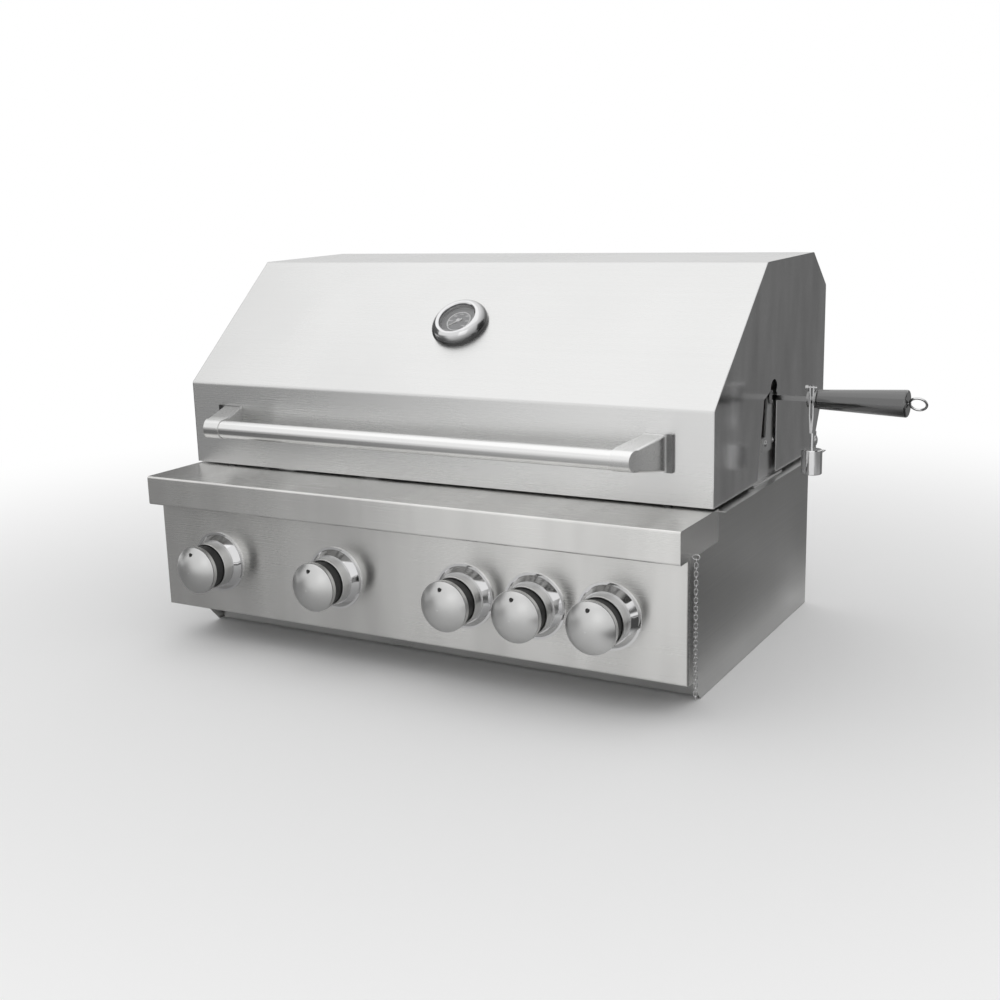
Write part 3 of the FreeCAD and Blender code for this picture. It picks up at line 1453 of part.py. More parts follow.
def rear_burner_pipe():
    """Pipe from the fourth valve, back between two burners and up to the rear burner."""
    body = new_body("rear_burner_pipe")
    profile = sketch_of(body, "Y", jet_tip_y, [round_hole(0, knob_z, s.pipe_radius)])
    path = new_sketch(body, "X", nothing)
    end_z = rear_low_z + s.rear_burner_sheet
    bend_y = pipe_y - s.pipe_bend
    bend_z = knob_z + s.pipe_bend
    corners = [(jet_tip_y, knob_z), (bend_y, knob_z), (pipe_y, bend_z), (pipe_y, end_z)]
    spots = [Vector(y.value, z.value, 0) for y, z in corners]
    path.addGeometry(Part.LineSegment(spots[0], spots[1]), False)
    path.addGeometry(curve_between(spots[1], spots[2], s.pipe_bend.value, 1), False)
    path.addGeometry(Part.LineSegment(spots[2], spots[3]), False)
    path.addConstraint(Sketcher.Constraint("Coincident", 0, 2, 1, 1))
    path.addConstraint(Sketcher.Constraint("Coincident", 1, 2, 2, 1))
    for edge, end, corner in ((0, 1, 0), (0, 2, 1), (2, 1, 2), (2, 2, 3)):
        pin_point(path, edge, end, *corners[corner])
    fixed = path.addConstraint(Sketcher.Constraint("Radius", 1, s.pipe_bend.value))
    bind(path, f"Constraints[{fixed}]", s.pipe_bend)
    document.recompute()
    pipe = body.newObject("PartDesign::AdditivePipe", "Pipe")
    pipe.Profile = profile
    pipe.Spine = (path, ["Edge1", "Edge2", "Edge3"])
    document.recompute()
    keep(place(body, rear_knob_x))


# Spit supports


def spit_riser(label, side):
    """Angle on the side flange, inside the hood, that carries the spit's cradle."""
    body = new_body(label)
    foot_end = cradle_inner_x + s.riser_foot
    section = [
        (riser_inner_x * side, rim_z),
        (foot_end * side, rim_z),
        (foot_end * side, rim_z + s.riser_sheet),
        (cradle_inner_x * side, rim_z + s.riser_sheet),
        (cradle_inner_x * side, riser_top_z),
        (riser_inner_x * side, riser_top_z),
    ]
    extrude(body, "Y", spit_y - s.riser_front, s.riser_front + s.riser_rear, section)
    holes = [round_hole(y, z, s.screw_radius) for y, z in cradle_screw_places()]
    cut(body, "X", side_start(side, riser_inner_x, cradle_inner_x), s.riser_sheet, *holes)
    return body


def cradle_screw_places():
    front_y = spit_y - s.cradle_screw_front
    level = riser_top_z - s.cradle_screw_drop
    return [(front_y, level), (front_y + s.cradle_screw_spacing, level)]


def spit_cradle(label, side):
    """Tapered tongue on the riser with the open seat that the spit's bushing turns in."""
    body = new_body(label)
    seat = s.bushing_groove + s.slack
    tip = seat + s.cradle_lip
    low = riser_top_z - s.cradle_overlap
    outline = [
        (spit_y - s.cradle_base_front, low),
        (spit_y + s.cradle_base_rear, low),
        (spit_y + s.cradle_base_rear, riser_top_z),
        (spit_y + tip, spit_z),
        arc(spit_y + seat, spit_z, seat, -1),
        arc(spit_y, spit_z - seat, seat, -1),
        (spit_y - seat, spit_z),
        (spit_y - tip, spit_z),
        (spit_y - s.cradle_neck_front, riser_top_z),
        (spit_y - s.cradle_base_front, riser_top_z),
    ]
    start = side_start(side, cradle_inner_x, cradle_outer_x)
    extrude(body, "X", start, s.riser_sheet, outline)
    holes = [round_hole(y, z, s.screw_radius) for y, z in cradle_screw_places()]
    cut(body, "X", start, s.riser_sheet, *holes)
    return body


def cradle_screws():
    bodies = []
    for name, side in SIDES:
        turn = TO_RIGHT if side > 0 else TO_LEFT
        for number, (y, z) in enumerate(cradle_screw_places(), start=1):
            body = screw(f"cradle_screw_{name}_{number}", s.riser_sheet * 2)
            bodies.append(place(body, cradle_outer_x * side, y, z, turn))
    keep_group("cradle_screws", bodies)


# Spit, with Z along its axis to the user's right

spool_left = hood_half + s.spool_start
spool_right = spool_left + s.spool_disc * 2 + s.spool_hub_length
grip_end = spool_right + s.handle_grip_length


def on_spit(body):
    return place(body, nothing, spit_y, spit_z, TO_RIGHT)


def square_section():
    half = s.spit_size / 2
    return rectangle(-half, -half, half, half)


def spit_rod():
    """Square rod whose right end sits in the handle, with the spool that the balance arm swings on."""
    body = new_body("spit_rod")
    left = -hood_half - s.spit_left_reach
    extrude(body, "Z", left, spool_right + s.handle_socket - left, square_section())
    hub_start = spool_left + s.spool_disc
    hub_end = spool_right - s.spool_disc
    profile = [
        (0, spool_left),
        (s.spool_disc_radius, spool_left),
        (s.spool_disc_radius, hub_start),
        (s.spool_hub_radius, hub_start),
        (s.spool_hub_radius, hub_end),
        (s.spool_disc_radius, hub_end),
        (s.spool_disc_radius, spool_right),
        (0, spool_right),
    ]
    spin(body, profile)
    keep(on_spit(body))


def spit_bushings():
    """Grooved rings that turn in the cradles."""
    bodies = []
    middle = (cradle_inner_x + cradle_outer_x) / 2
    half = s.riser_sheet / 2 + s.slack
    edge = half + s.bushing_flange
    for name, side in SIDES:
        body = new_body(f"spit_bushing_{name}")
        profile = [
            (0, -edge),
            (s.bushing_radius, -edge),
            (s.bushing_radius, -half),
            (s.bushing_groove, -half),
            (s.bushing_groove, half),
            (s.bushing_radius, half),
            (s.bushing_radius, edge),
            (0, edge),
        ]
        spin(body, profile)
        cut(body, "Z", -edge, edge * 2, square_section())
        bodies.append(place(body, middle * side, spit_y, spit_z, TO_RIGHT))
    keep_group("spit_bushings", bodies)


def fork_and_screw(name, side):
    """Fork with two prongs that points at the middle of the spit, and its thumb screw."""
    turn = TO_LEFT if side > 0 else TO_RIGHT
    fork = new_body(f"spit_fork_{name}")
    extrude(fork, "Z", nothing, s.fork_hub_length, round_hole(0, 0, s.fork_hub_radius))
    yoke_z = s.fork_hub_length - s.prong_radius * 2
    yoke = rectangle(-s.prong_radius, -s.fork_spread, s.prong_radius, s.fork_spread)
    extrude(fork, "Z", yoke_z, s.prong_radius * 2, yoke)
    straight = s.prong_length - s.prong_point
    for way in (-1, 1):
        prong_y = s.fork_spread * way
        extrude(fork, "Z", yoke_z, straight, round_hole(0, prong_y, s.prong_radius))
        point = fork.newObject("PartDesign::AdditiveLoft", "Point")
        point_z = yoke_z + straight
        point.Profile = sketch_of(fork, "Z", point_z, [round_hole(0, prong_y, s.prong_radius)])
        tip = round_hole(0, prong_y, s.prong_radius / 6)
        point.Sections = [sketch_of(fork, "Z", point_z + s.prong_point, [tip])]
        document.recompute()
    cut(fork, "Z", nothing, s.fork_hub_length, square_section())
    thumb = new_body(f"fork_screw_{name}")
    low = s.fork_hub_radius + s.slack
    across = s.fork_hub_length / 2 - s.prong_radius
    neck = round_hole(0, across, s.clamp_screw_radius * 2)
    extrude(thumb, "X", s.spit_size / 2, low + s.thumb_neck - s.spit_size / 2, neck)
    extrude(thumb, "X", low + s.thumb_neck, s.thumb_height, round_hole(0, across, s.thumb_radius))
    hole = round_hole(0, across, s.clamp_screw_radius * 2)
    cut(fork, "X", nothing, s.fork_hub_radius, hole)
    place_x = s.fork_offset * side
    return [place(body, place_x, spit_y, spit_z, turn) for body in (fork, thumb)]


def spit_forks():
    pairs = [fork_and_screw(name, side) for name, side in SIDES]
    keep_group("spit_forks", [fork for fork, thumb in pairs])
    keep_group("fork_screws", [thumb for fork, thumb in pairs])


def spit_handle():
    """Black tapered grip, thicker at its outer end."""
    body = new_body("spit_handle")
    soft = s.handle_grip_round
    profile = [
        (0, spool_right),
        arc(s.handle_grip_inner - soft, spool_right, soft, 1),
        (s.handle_grip_inner, spool_right + soft),
        arc(s.handle_grip_outer, grip_end - soft, soft, 1),
        (s.handle_grip_outer - soft, grip_end),
        (0, grip_end),
    ]
    spin(body, profile)
    cut(body, "Z", spool_right, s.handle_socket, square_section())
    shank = round_hole(0, 0, s.ring_wire)
    cut(body, "Z", grip_end - s.ring_shank, s.ring_shank, shank)
    keep(on_spit(body))


def hanging_ring():
    """Wire eye in the end of the spit handle."""
    centre = grip_end.value + s.ring_radius.value + s.ring_wire.value
    square_to_ring = Rotation(UP, s.ring_tilt.value).multVec(BACK)
    ring = Part.makeTorus(s.ring_radius.value, s.ring_wire.value, Vector(0, 0, centre), square_to_ring)
    shank_length = s.ring_shank.value + s.ring_wire.value * 2
    shank_start = Vector(0, 0, grip_end.value - s.ring_shank.value)
    shank = Part.makeCylinder(s.ring_wire.value, shank_length, shank_start)
    shape = ring.fuse(shank)
    feature = keep_shape("hanging_ring", shape)
    feature.Placement = Placement(Vector(0, spit_y.value, spit_z.value), TO_RIGHT)


# Balance weight, hanging from the spool

arm_left_x = spool_left + s.spool_disc + s.slack
arm_right_x = spool_right - s.spool_disc - s.slack
arm_middle_x = (arm_left_x + arm_right_x) / 2


def balance_arm():
    """Two strips that straddle the rod, meet below it and carry the weight's stem."""
    body = new_body("balance_arm")
    top = spit_z + s.arm_top
    bend = spit_z - s.arm_straight
    join = spit_z - s.arm_join
    half = s.arm_width / 2
    for x, way in ((arm_left_x, 1), (arm_right_x, -1)):
        face = x + s.arm_sheet * way
        strip = [
            (x, top),
            (x, bend),
            (arm_middle_x - s.arm_sheet * way, join),
            (arm_middle_x + s.arm_sheet * way, join),
            (arm_middle_x + s.arm_sheet * way, join + s.arm_sheet),
            (face, bend),
            (face, top),
        ]
        extrude(body, "Y", spit_y - half, s.arm_width, strip)
    stem_low = spit_z - s.weight_top
    extrude(body, "Z", stem_low, join - stem_low, round_hole(arm_middle_x, spit_y, s.arm_stem_radius))
    bore = round_hole(spit_y, spit_z, s.spool_hub_radius + s.running_clearance)
    pin = round_hole(spit_y, spit_z + s.clamp_screw_rise, s.clamp_screw_radius)
    cut(body, "X", spool_left, spool_right - spool_left, bore, pin)
    keep(body)


def balance_weight():
    """Steel cylinder on the arm's stem."""
    body = new_body("balance_weight")
    edge = s.weight_edge
    profile = [
        (0, -s.weight_height),
        (s.weight_radius - edge, -s.weight_height),
        (s.weight_radius, -s.weight_height + edge),
        (s.weight_radius, -edge),
        (s.weight_radius - edge, 0),
        (0, 0),
    ]
    spin(body, profile)
    keep(place(body, arm_middle_x, spit_y, spit_z - s.weight_top))


def clamp_screw():
    """Thumb screw that pinches the arm on its spool."""
    body = new_body("clamp_screw")
    low = spool_left - s.clamp_head_length
    high = arm_right_x + s.clamp_nut_length
    profile = [
        (0, low),
        (s.clamp_head_radius, low),
        (s.clamp_head_radius, spool_left - s.slack),
        (s.clamp_screw_radius, spool_left - s.slack),
        (s.clamp_screw_radius, high),
        (0, high),
    ]
    spin(body, profile)
    keep(place(body, nothing, spit_y, spit_z + s.clamp_screw_rise, TO_RIGHT))


# Lighting chain at the ledge's right end

chain_x = ledge_half + s.chain_side_gap
chain_y = ledge_front_y + s.chain_back
chain_eye_z = rim_z - s.chain_eye_drop


def oval_link(length, width, wire):
    """One wire link, standing upright in the XZ plane about its centre."""
    bend = width / 2 - wire
    straight = length / 2 - width / 2
    crown = Vector(0, 0, straight + bend)
    top_right, top_left = Vector(bend, 0, straight), Vector(-bend, 0, straight)
    low_right, low_left = Vector(bend, 0, -straight), Vector(-bend, 0, -straight)
    path = Part.Wire([
        Part.Arc(top_right, crown, top_left).toShape(),
        Part.LineSegment(top_left, low_left).toShape(),
        Part.Arc(low_left, -crown, low_right).toShape(),
        Part.LineSegment(low_right, top_right).toShape(),
    ])
    ring = Part.Wire(Part.makeCircle(wire, top_right, UP))
    return path.makePipeShell([ring], True, True)


def lighting_chain():
    """Straight hanging links, each turned a quarter from the one above."""
    length, width, wire = s.link_length.value, s.link_width.value, s.chain_wire.value
    pitch = length - wire * 4 - s.link_clearance.value
    run_top = chain_eye_z.value - s.eye_width.value / 2 + wire * 2
    first_z = run_top + s.link_clearance.value + wire * 2 - length / 2
    links = []
    for index in range(int(s.link_count.value)):
        link = oval_link(length, width, wire)
        link.rotate(Vector(), UP, s.link_turn.value + (90 if index % 2 == 0 else 0))
        link.translate(Vector(chain_x.value, chain_y.value, first_z - pitch * index))
        links.append(link)
    keep_shape("lighting_chain", Part.makeCompound(links))


def chain_eye():
    """Screw eye in the ledge's end, with a straight lower run that the chain swings on."""
    length, wire = s.eye_length.value, s.chain_wire.value
    centre = Vector(chain_x.value, chain_y.value, chain_eye_z.value)
    eye = oval_link(length, s.eye_width.value, wire)
    eye.rotate(Vector(), BACK, 90)
    eye.translate(centre)
    start = ledge_half.value - s.eye_shank.value
    shank_length = centre.x - length / 2 + wire - start
    shank = Part.makeCylinder(wire, shank_length, Vector(start, centre.y, centre.z), RIGHT)
    keep_shape("chain_eye", eye.fuse(shank))


def pair(make, label):
    """The left and the right one of a piece, as one sub-part."""
    keep_group(f"{label}s", [make(f"{label}_{name}", side) for name, side in SIDES])


def build():
    hood_skin()
    for name, side in SIDES:
        hood_side(f"hood_side_{name}", side)
        firebox_side(f"firebox_side_{name}", side)
    pair(handle_bracket, "handle_bracket")
    handle_bar()
    gauge_case()
    gauge_glass()
    gauge_dial()
    gauge_needle()
    keep_group("hood_fasteners", handle_screws() + [gauge_nut()])
    pair(hinge_bracket, "hinge_bracket")
    pair(hinge_bolt, "hinge_bolt")
    hood_bumpers()
    back_panel()
    front_bulkhead()
    base_pan()
    drip_tray()
    front_ledge()
    control_panel()
    control_knobs()
    gas_manifold()
    keep_group("burner_tubes", [burner(number, x) for number, x in enumerate(burner_columns, start=1)])
    tamer_shelves = support_angles("tamer_rail", tamer_z)
    grate_shelves = support_angles("grate_rail", cross_bar_z - s.grate_bar_radius)
    keep_group("support_rails", [burner_rail()] + tamer_shelves + grate_shelves)
    flame_tamers()
    cooking_grates()
    rear_burner_housing()
    rear_burner_tile()
    rear_burner_pipe()
    pair(spit_riser, "spit_riser")
    pair(spit_cradle, "spit_cradle")
    cradle_screws()
    spit_rod()
    spit_bushings()
    spit_forks()
    spit_handle()
    hanging_ring()
    balance_arm()
    balance_weight()
    clamp_screw()
    lighting_chain()
    chain_eye()


def check():
    """Stops if any object failed or any sub-part is not a sound solid."""
    document.recompute()
    for item in document.Objects:
        if "Invalid" in item.State or "Error" in item.State:
            raise ValueError(f"{item.Label} could not be built")
    for item in parts:
        if item.Shape.isNull() or not item.Shape.isValid() or not item.Shape.Solids:
            raise ValueError(f"{item.Label} is not a sound solid")


def write():
    os.makedirs("parts", exist_ok=True)
    for item in parts:
        item.Shape.exportStep(f"parts/{item.Label}.step")


build()
check()
write()
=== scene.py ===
"""Finishes, dial marks, knob marks and a studio stage for a drop-in gas grill."""

import json
import math

import bpy
from bpy.props import FloatProperty, FloatVectorProperty, PointerProperty
from mathutils import Matrix, Vector


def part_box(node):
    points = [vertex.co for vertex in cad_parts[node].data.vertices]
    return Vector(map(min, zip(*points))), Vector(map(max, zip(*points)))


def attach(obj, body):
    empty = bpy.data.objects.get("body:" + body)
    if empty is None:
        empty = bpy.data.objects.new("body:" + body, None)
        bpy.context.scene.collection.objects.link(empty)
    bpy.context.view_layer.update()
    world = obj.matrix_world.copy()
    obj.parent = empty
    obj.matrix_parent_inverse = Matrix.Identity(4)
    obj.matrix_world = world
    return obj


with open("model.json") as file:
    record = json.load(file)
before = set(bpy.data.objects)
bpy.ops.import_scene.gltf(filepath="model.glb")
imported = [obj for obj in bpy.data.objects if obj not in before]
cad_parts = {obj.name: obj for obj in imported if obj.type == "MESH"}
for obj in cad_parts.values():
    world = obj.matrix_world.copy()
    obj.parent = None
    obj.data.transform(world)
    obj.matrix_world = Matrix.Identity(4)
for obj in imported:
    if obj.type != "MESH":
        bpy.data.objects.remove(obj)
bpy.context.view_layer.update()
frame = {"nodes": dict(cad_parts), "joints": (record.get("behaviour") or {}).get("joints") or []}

bl_info = {
    "name": "Drop-in gas grill",
    "version": (1, 0, 0),
    "blender": (4, 5, 0),
    "location": "3D View > Sidebar > Grill",
    "description": "Finishes, dial marks and a studio stage for a packed gas grill",
    "category": "Object",
}

JOINTS = {joint["name"]: joint for joint in frame["joints"]}
KNOBS = [1, 2, 3, 4, 5]
KNOB_PITCH = JOINTS["knob_4_turn"]["pos_m"][0] - JOINTS["knob_3_turn"]["pos_m"][0]
KNOB_HEIGHT = JOINTS["knob_1_turn"]["pos_m"][2]
PANEL_FACE = JOINTS["knob_1_turn"]["pos_m"][1]
GAUGE_CENTRE = Vector(JOINTS["gauge_needle_turn"]["pos_m"])
GAUGE_OUT = -Vector(JOINTS["gauge_needle_turn"]["axis"])
TUBE_LOW, TUBE_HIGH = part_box("handle_bar")
TUBE_AXIS = (TUBE_LOW + TUBE_HIGH) / 2
TUBE_RADIUS = (TUBE_HIGH.z - TUBE_LOW.z) / 2
BRACKET_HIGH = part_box("handle_brackets")[1]


def colour(label, value):
    return FloatVectorProperty(
        name=label, description=f"{label}, linear", subtype="COLOR", size=3, min=0, max=1, default=value)


def share(label, value):
    return FloatProperty(name=label, description=label, min=0, max=1, default=value, subtype="FACTOR")


def length(label, value):
    return FloatProperty(name=label, description=label, min=0, default=value, unit="LENGTH", precision=5)


class GrillFinishes(bpy.types.PropertyGroup):
    """Colours and polish of the grill's metals, plastics and paints"""
    hood: colour("Hood steel", (0.71, 0.71, 0.705))
    side: colour("Hood side steel", (0.56, 0.56, 0.56))
    panel: colour("Panel steel", (0.72, 0.716, 0.702))
    inside: colour("Firebox steel", (0.5, 0.5, 0.495))
    rod: colour("Drawn steel", (0.58, 0.58, 0.58))
    handle: colour("Handle tube", (0.8, 0.8, 0.795))
    chrome: colour("Chrome", (0.7, 0.7, 0.705))
    cap: colour("Knob cap", (0.58, 0.58, 0.575))
    black: colour("Black plastic", (0.012, 0.012, 0.012))
    brass: colour("Brass", (0.72, 0.52, 0.22))
    dial: colour("Dial face", (0.27, 0.27, 0.28))
    print: colour("Dial print", (0.85, 0.85, 0.85))
    tile: colour("Burner tile", (0.62, 0.5, 0.36))
    burner: colour("Burner steel", (0.46, 0.45, 0.43))
    rubber: colour("Bumper rubber", (0.02, 0.02, 0.02))
    hood_roughness: share("Hood roughness", 0.27)
    side_roughness: share("Hood side roughness", 0.16)
    panel_roughness: share("Panel roughness", 0.25)
    cap_roughness: share("Knob cap roughness", 0.36)


class GrillMarks(bpy.types.PropertyGroup):
    """Sizes of the printed dial and of the marks on the knobs"""
    ring_radius: length("Dial ring radius", 0.0174)
    ring_width: length("Dial ring width", 0.0011)
    mark_length: length("Long mark", 0.0019)
    mark_width: length("Mark width", 0.0008)
    number_radius: length("Numbers from the dial's middle", 0.0127)
    number_height: length("Number height", 0.0038)
    print_thickness: length("Print thickness", 0.00008)
    dial_height: length("Dial above the hood", 0.006)
    dot_radius: length("Knob mark radius", 0.0027)
    dot_offset: length("Knob mark from the knob's axis", 0.024)
    dot_front: length("Knob mark above the panel", 0.0584)


class GrillStage(bpy.types.PropertyGroup):
    """Floor, lamps and camera"""
    floor: colour("Floor", (0.9, 0.9, 0.9))
    sky: FloatProperty(name="Sky", description="Light from all round", min=0, default=0.8)
    overhead: FloatProperty(name="Overhead", description="Overhead lamp", min=0, default=4.5, unit="POWER")
    front: FloatProperty(name="Front", description="Front lamp", min=0, default=3, unit="POWER")
    lens: FloatProperty(name="Lens", description="Focal length in millimetres", min=1, default=47.77)


# Materials


class Finish:
    """One material, grown node by node on Object coordinates."""

    def __init__(self, name, base, roughness, metallic=0.0, **sockets):
        self.material = bpy.data.materials.new(name)
        self.material.use_nodes = True
        self.tree = self.material.node_tree
        self.shader = self.tree.nodes["Principled BSDF"]
        self.shader.inputs["Base Color"].default_value = (*base, 1)
        self.shader.inputs["Roughness"].default_value = roughness
        self.shader.inputs["Metallic"].default_value = metallic
        for socket, value in sockets.items():
            self.shader.inputs[socket.replace("_", " ")].default_value = value
        self.place = self.add("TexCoord").outputs["Object"]

    def add(self, kind, **inputs):
        node = self.tree.nodes.new("ShaderNode" + kind)
        for socket, value in inputs.items():
            self.feed(value, node.inputs[socket])
        return node

    def feed(self, value, socket):
        if isinstance(value, bpy.types.NodeSocket):
            self.tree.links.new(value, socket)
        else:
            socket.default_value = value

    def vector(self, operation, first, second=None):
        node = self.add("VectorMath")
        node.operation = operation
        self.feed(first, node.inputs[0])
        if second is not None:
            self.feed(second, node.inputs["Scale" if operation == "SCALE" else 1])
        return node.outputs["Value" if operation in ("DOT_PRODUCT", "LENGTH") else "Vector"]

    def parts(self, vector):
        """The vector's X, Y and Z."""
        return self.add("SeparateXYZ", Vector=vector).outputs

    def normal(self):
        return self.add("NewGeometry").outputs["Normal"]

    def stretched(self, scale):
        return self.add("Mapping", Vector=self.place, Scale=scale).outputs["Vector"]

    def noise(self, vector, scale=1.0, detail=4.0, roughness=0.6):
        node = self.add("TexNoise", Vector=vector, Scale=scale, Detail=detail, Roughness=roughness)
        return node.outputs["Fac"]

    def between(self, value, low, high, start=0.3, end=0.7):
        """Low where the value is at the start, high where it is at the end."""
        node = self.add("MapRange", Value=value)
        for socket, number in (("From Min", start), ("From Max", end), ("To Min", low), ("To Max", high)):
            node.inputs[socket].default_value = number
        return node.outputs["Result"]

    def sums(self, operation, first, second=0.0):
        node = self.add("Math")
        node.operation = operation
        self.feed(first, node.inputs[0])
        self.feed(second, node.inputs[1])
        return node.outputs["Value"]

    def ramp(self, value, *stops):
        node = self.add("ValToRGB", Fac=value)
        points = node.color_ramp.elements
        while len(points) < len(stops):
            points.new(0.5)
        for point, (position, tint) in zip(points, stops):
            point.position = position
            point.color = (*tint, 1)
        return node.outputs["Color"]

    def mottled(self, value, tint, low, high):
        """Base colour between a darker and a lighter shade of one tint."""
        self.tint(self.ramp(value, (0.3, scaled(tint, low)), (0.7, scaled(tint, high))))

    def tint(self, value):
        self.feed(value, self.shader.inputs["Base Color"])

    def rough(self, value):
        self.feed(value, self.shader.inputs["Roughness"])

    def bump(self, height, strength, distance):
        node = self.add("Bump", Height=height, Strength=strength, Distance=distance)
        self.feed(node.outputs["Normal"], self.shader.inputs["Normal"])

    def brushed_along(self, axis):
        """Stretches reflections square to the grain, and upwards on faces that the grain meets end-on."""
        facing = self.sums("ABSOLUTE", self.parts(self.normal())[axis])
        grain = self.add("CombineXYZ", Z=self.sums("GREATER_THAN", facing, END_ON))
        grain.inputs[axis].default_value = 1
        across = self.vector("CROSS_PRODUCT", self.normal(), grain.outputs["Vector"])
        self.feed(across, self.shader.inputs["Tangent"])


def scaled(tint, factor):
    return tuple(min(1.0, part * factor) for part in tint)


END_ON = 0.9
GRAIN = {"X": (3, 1400, 1400), "Y": (1400, 3, 1400)}
STREAK_WIDTH = 6
GRAIN_STRENGTH = 0.007
GRAIN_DEPTH = 0.0001
RING_DEPTH = 0.00005
RIPPLE_DEPTH = 0.0002


def fine_grain(finish, along):
    return finish.noise(finish.stretched(GRAIN[along]), detail=6.0, roughness=0.7)


def brushed(name, base, roughness, along="X", smear=0.85, contrast=0.03, cloud=0.03,
            patchy=0.0, patch=(1, 1, 1)):
    """Sheet with a fine grain along one axis, faint long streaks, handling marks and cloudy patches."""
    finish = Finish(name, base, roughness, metallic=1.0, Anisotropic=smear)
    fine = fine_grain(finish, along)
    wide = tuple(part / STREAK_WIDTH for part in GRAIN[along])
    streak = finish.noise(finish.stretched(wide), detail=3.0)
    soft = finish.noise(finish.place, scale=5.0, detail=3.0, roughness=0.5)
    both = finish.sums("MULTIPLY_ADD", streak, 0.5)
    finish.feed(fine, both.node.inputs[2])
    grain = finish.ramp(finish.between(both, 0, 1, 0.45, 1.05),
                        (0.0, scaled(base, 1 - contrast)), (1.0, scaled(base, 1 + contrast)))
    broad = finish.noise(finish.stretched(patch), detail=2.0, roughness=0.5)
    shade = finish.between(broad, 1 - patchy, 1 + patchy, 0.35, 0.65)
    finish.tint(finish.vector("SCALE", grain, shade))
    grain_rough = finish.between(fine, roughness - 0.02, roughness + 0.025)
    finish.rough(finish.sums("ADD", grain_rough, finish.between(soft, -cloud, cloud)))
    finish.bump(fine, strength=GRAIN_STRENGTH, distance=GRAIN_DEPTH)
    finish.brushed_along(along)
    return finish.material


def polished(name, base, roughness):
    """Bright plating with a trace of buffing."""
    finish = Finish(name, base, roughness, metallic=1.0)
    haze = finish.noise(finish.place, scale=60.0)
    finish.rough(finish.between(haze, roughness * 0.6, roughness * 1.7))
    finish.mottled(haze, base, 0.96, 1.03)
    finish.bump(haze, strength=0.03, distance=RIPPLE_DEPTH)
    return finish.material


def knob_distance(finish):
    """Distance from the nearest knob axis."""
    parts = finish.parts(finish.place)
    wrapped = finish.sums("WRAP", parts["X"], KNOB_PITCH / 2)
    wrapped.node.inputs[2].default_value = -KNOB_PITCH / 2
    height = finish.sums("SUBTRACT", parts["Z"], KNOB_HEIGHT)
    square = finish.sums("ADD", finish.sums("MULTIPLY", wrapped, wrapped),
                         finish.sums("MULTIPLY", height, height))
    return finish.sums("SQRT", square)


def turned_rings(finish, fineness):
    """Fine lathe rings round each knob's axis."""
    ring = finish.add("CombineXYZ", X=knob_distance(finish)).outputs["Vector"]
    return finish.noise(ring, scale=fineness, detail=5.0, roughness=0.7)


def dress(material, *nodes):
    """Gives solids their material."""
    for node in nodes:
        slots = frame["nodes"][node].data.materials
        slots.clear()
        slots.append(material)


# Modelling steps


def lone():
    """Leaves edit mode with nothing selected."""
    if bpy.context.mode != "OBJECT":
        bpy.ops.object.mode_set(mode="OBJECT")
    bpy.ops.object.select_all(action="DESELECT")


def named(name):
    piece = bpy.context.active_object
    piece.name = name
    piece.data.name = name
    return piece


def settle(piece, place=None):
    """Moves a piece to its place and keeps the place in its mesh."""
    lone()
    piece.select_set(True)
    bpy.context.view_layer.objects.active = piece
    if place is not None:
        piece.matrix_world = place @ piece.matrix_world
    bpy.ops.object.transform_apply(location=True, rotation=True, scale=True)
    return piece


def copy_of(piece, turn):
    twin = piece.copy()
    twin.data = piece.data.copy()
    bpy.context.scene.collection.objects.link(twin)
    twin.matrix_world = turn @ piece.matrix_world
    return twin


def joined(pieces, name):
    lone()
    for piece in pieces:
        piece.select_set(True)
    bpy.context.view_layer.objects.active = pieces[0]
    bpy.ops.object.join()
    return named(name)


def finished(piece, material, body):
    """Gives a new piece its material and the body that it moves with."""
    piece.data.materials.clear()
    piece.data.materials.append(material)
    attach(piece, body)
    return piece


# Sheet metal


class GRILL_OT_sheet_metal(bpy.types.Operator):
    """Brushed steel of the hood, ledge, control panel and firebox"""
    bl_idname = "grill.sheet_metal"
    bl_label = "Sheet metal"

    def execute(self, context):
        tones = context.scene.grill_finishes
        dress(brushed("brushed_hood", tones.hood, tones.hood_roughness, contrast=0.018), "hood_skin")
        side = brushed("hood_side_steel", tones.side, tones.side_roughness, "Y", smear=0.3,
                       patchy=0.11, patch=(1, 22, 7))
        dress(side, "hood_side_left", "hood_side_right")
        dull = brushed("carrier_steel", tones.side, 0.5, "Y", smear=0.2, contrast=0.04, cloud=0.05)
        dress(dull, "spit_risers", "spit_cradles")
        panel = brushed("brushed_panel", tones.panel, tones.panel_roughness, contrast=0.018,
                        patchy=0.07, patch=(16, 1, 2))
        dress(panel, "front_ledge", "control_panel")
        inside = brushed("firebox_steel", tones.inside, 0.38, "Y", smear=0.3, contrast=0.08, cloud=0.08)
        dress(inside, "firebox_side_left", "firebox_side_right", "hinge_brackets")
        across = brushed("firebox_steel_across", tones.inside, 0.38, smear=0.3, contrast=0.08, cloud=0.08)
        dress(across, "back_panel", "front_bulkhead", "base_pan", "support_rails", "rear_burner_housing")
        tray = brushed("tray_steel", tones.inside, 0.34, smear=0.3, contrast=0.06, cloud=0.1)
        dress(tray, "drip_tray")
        return {"FINISHED"}


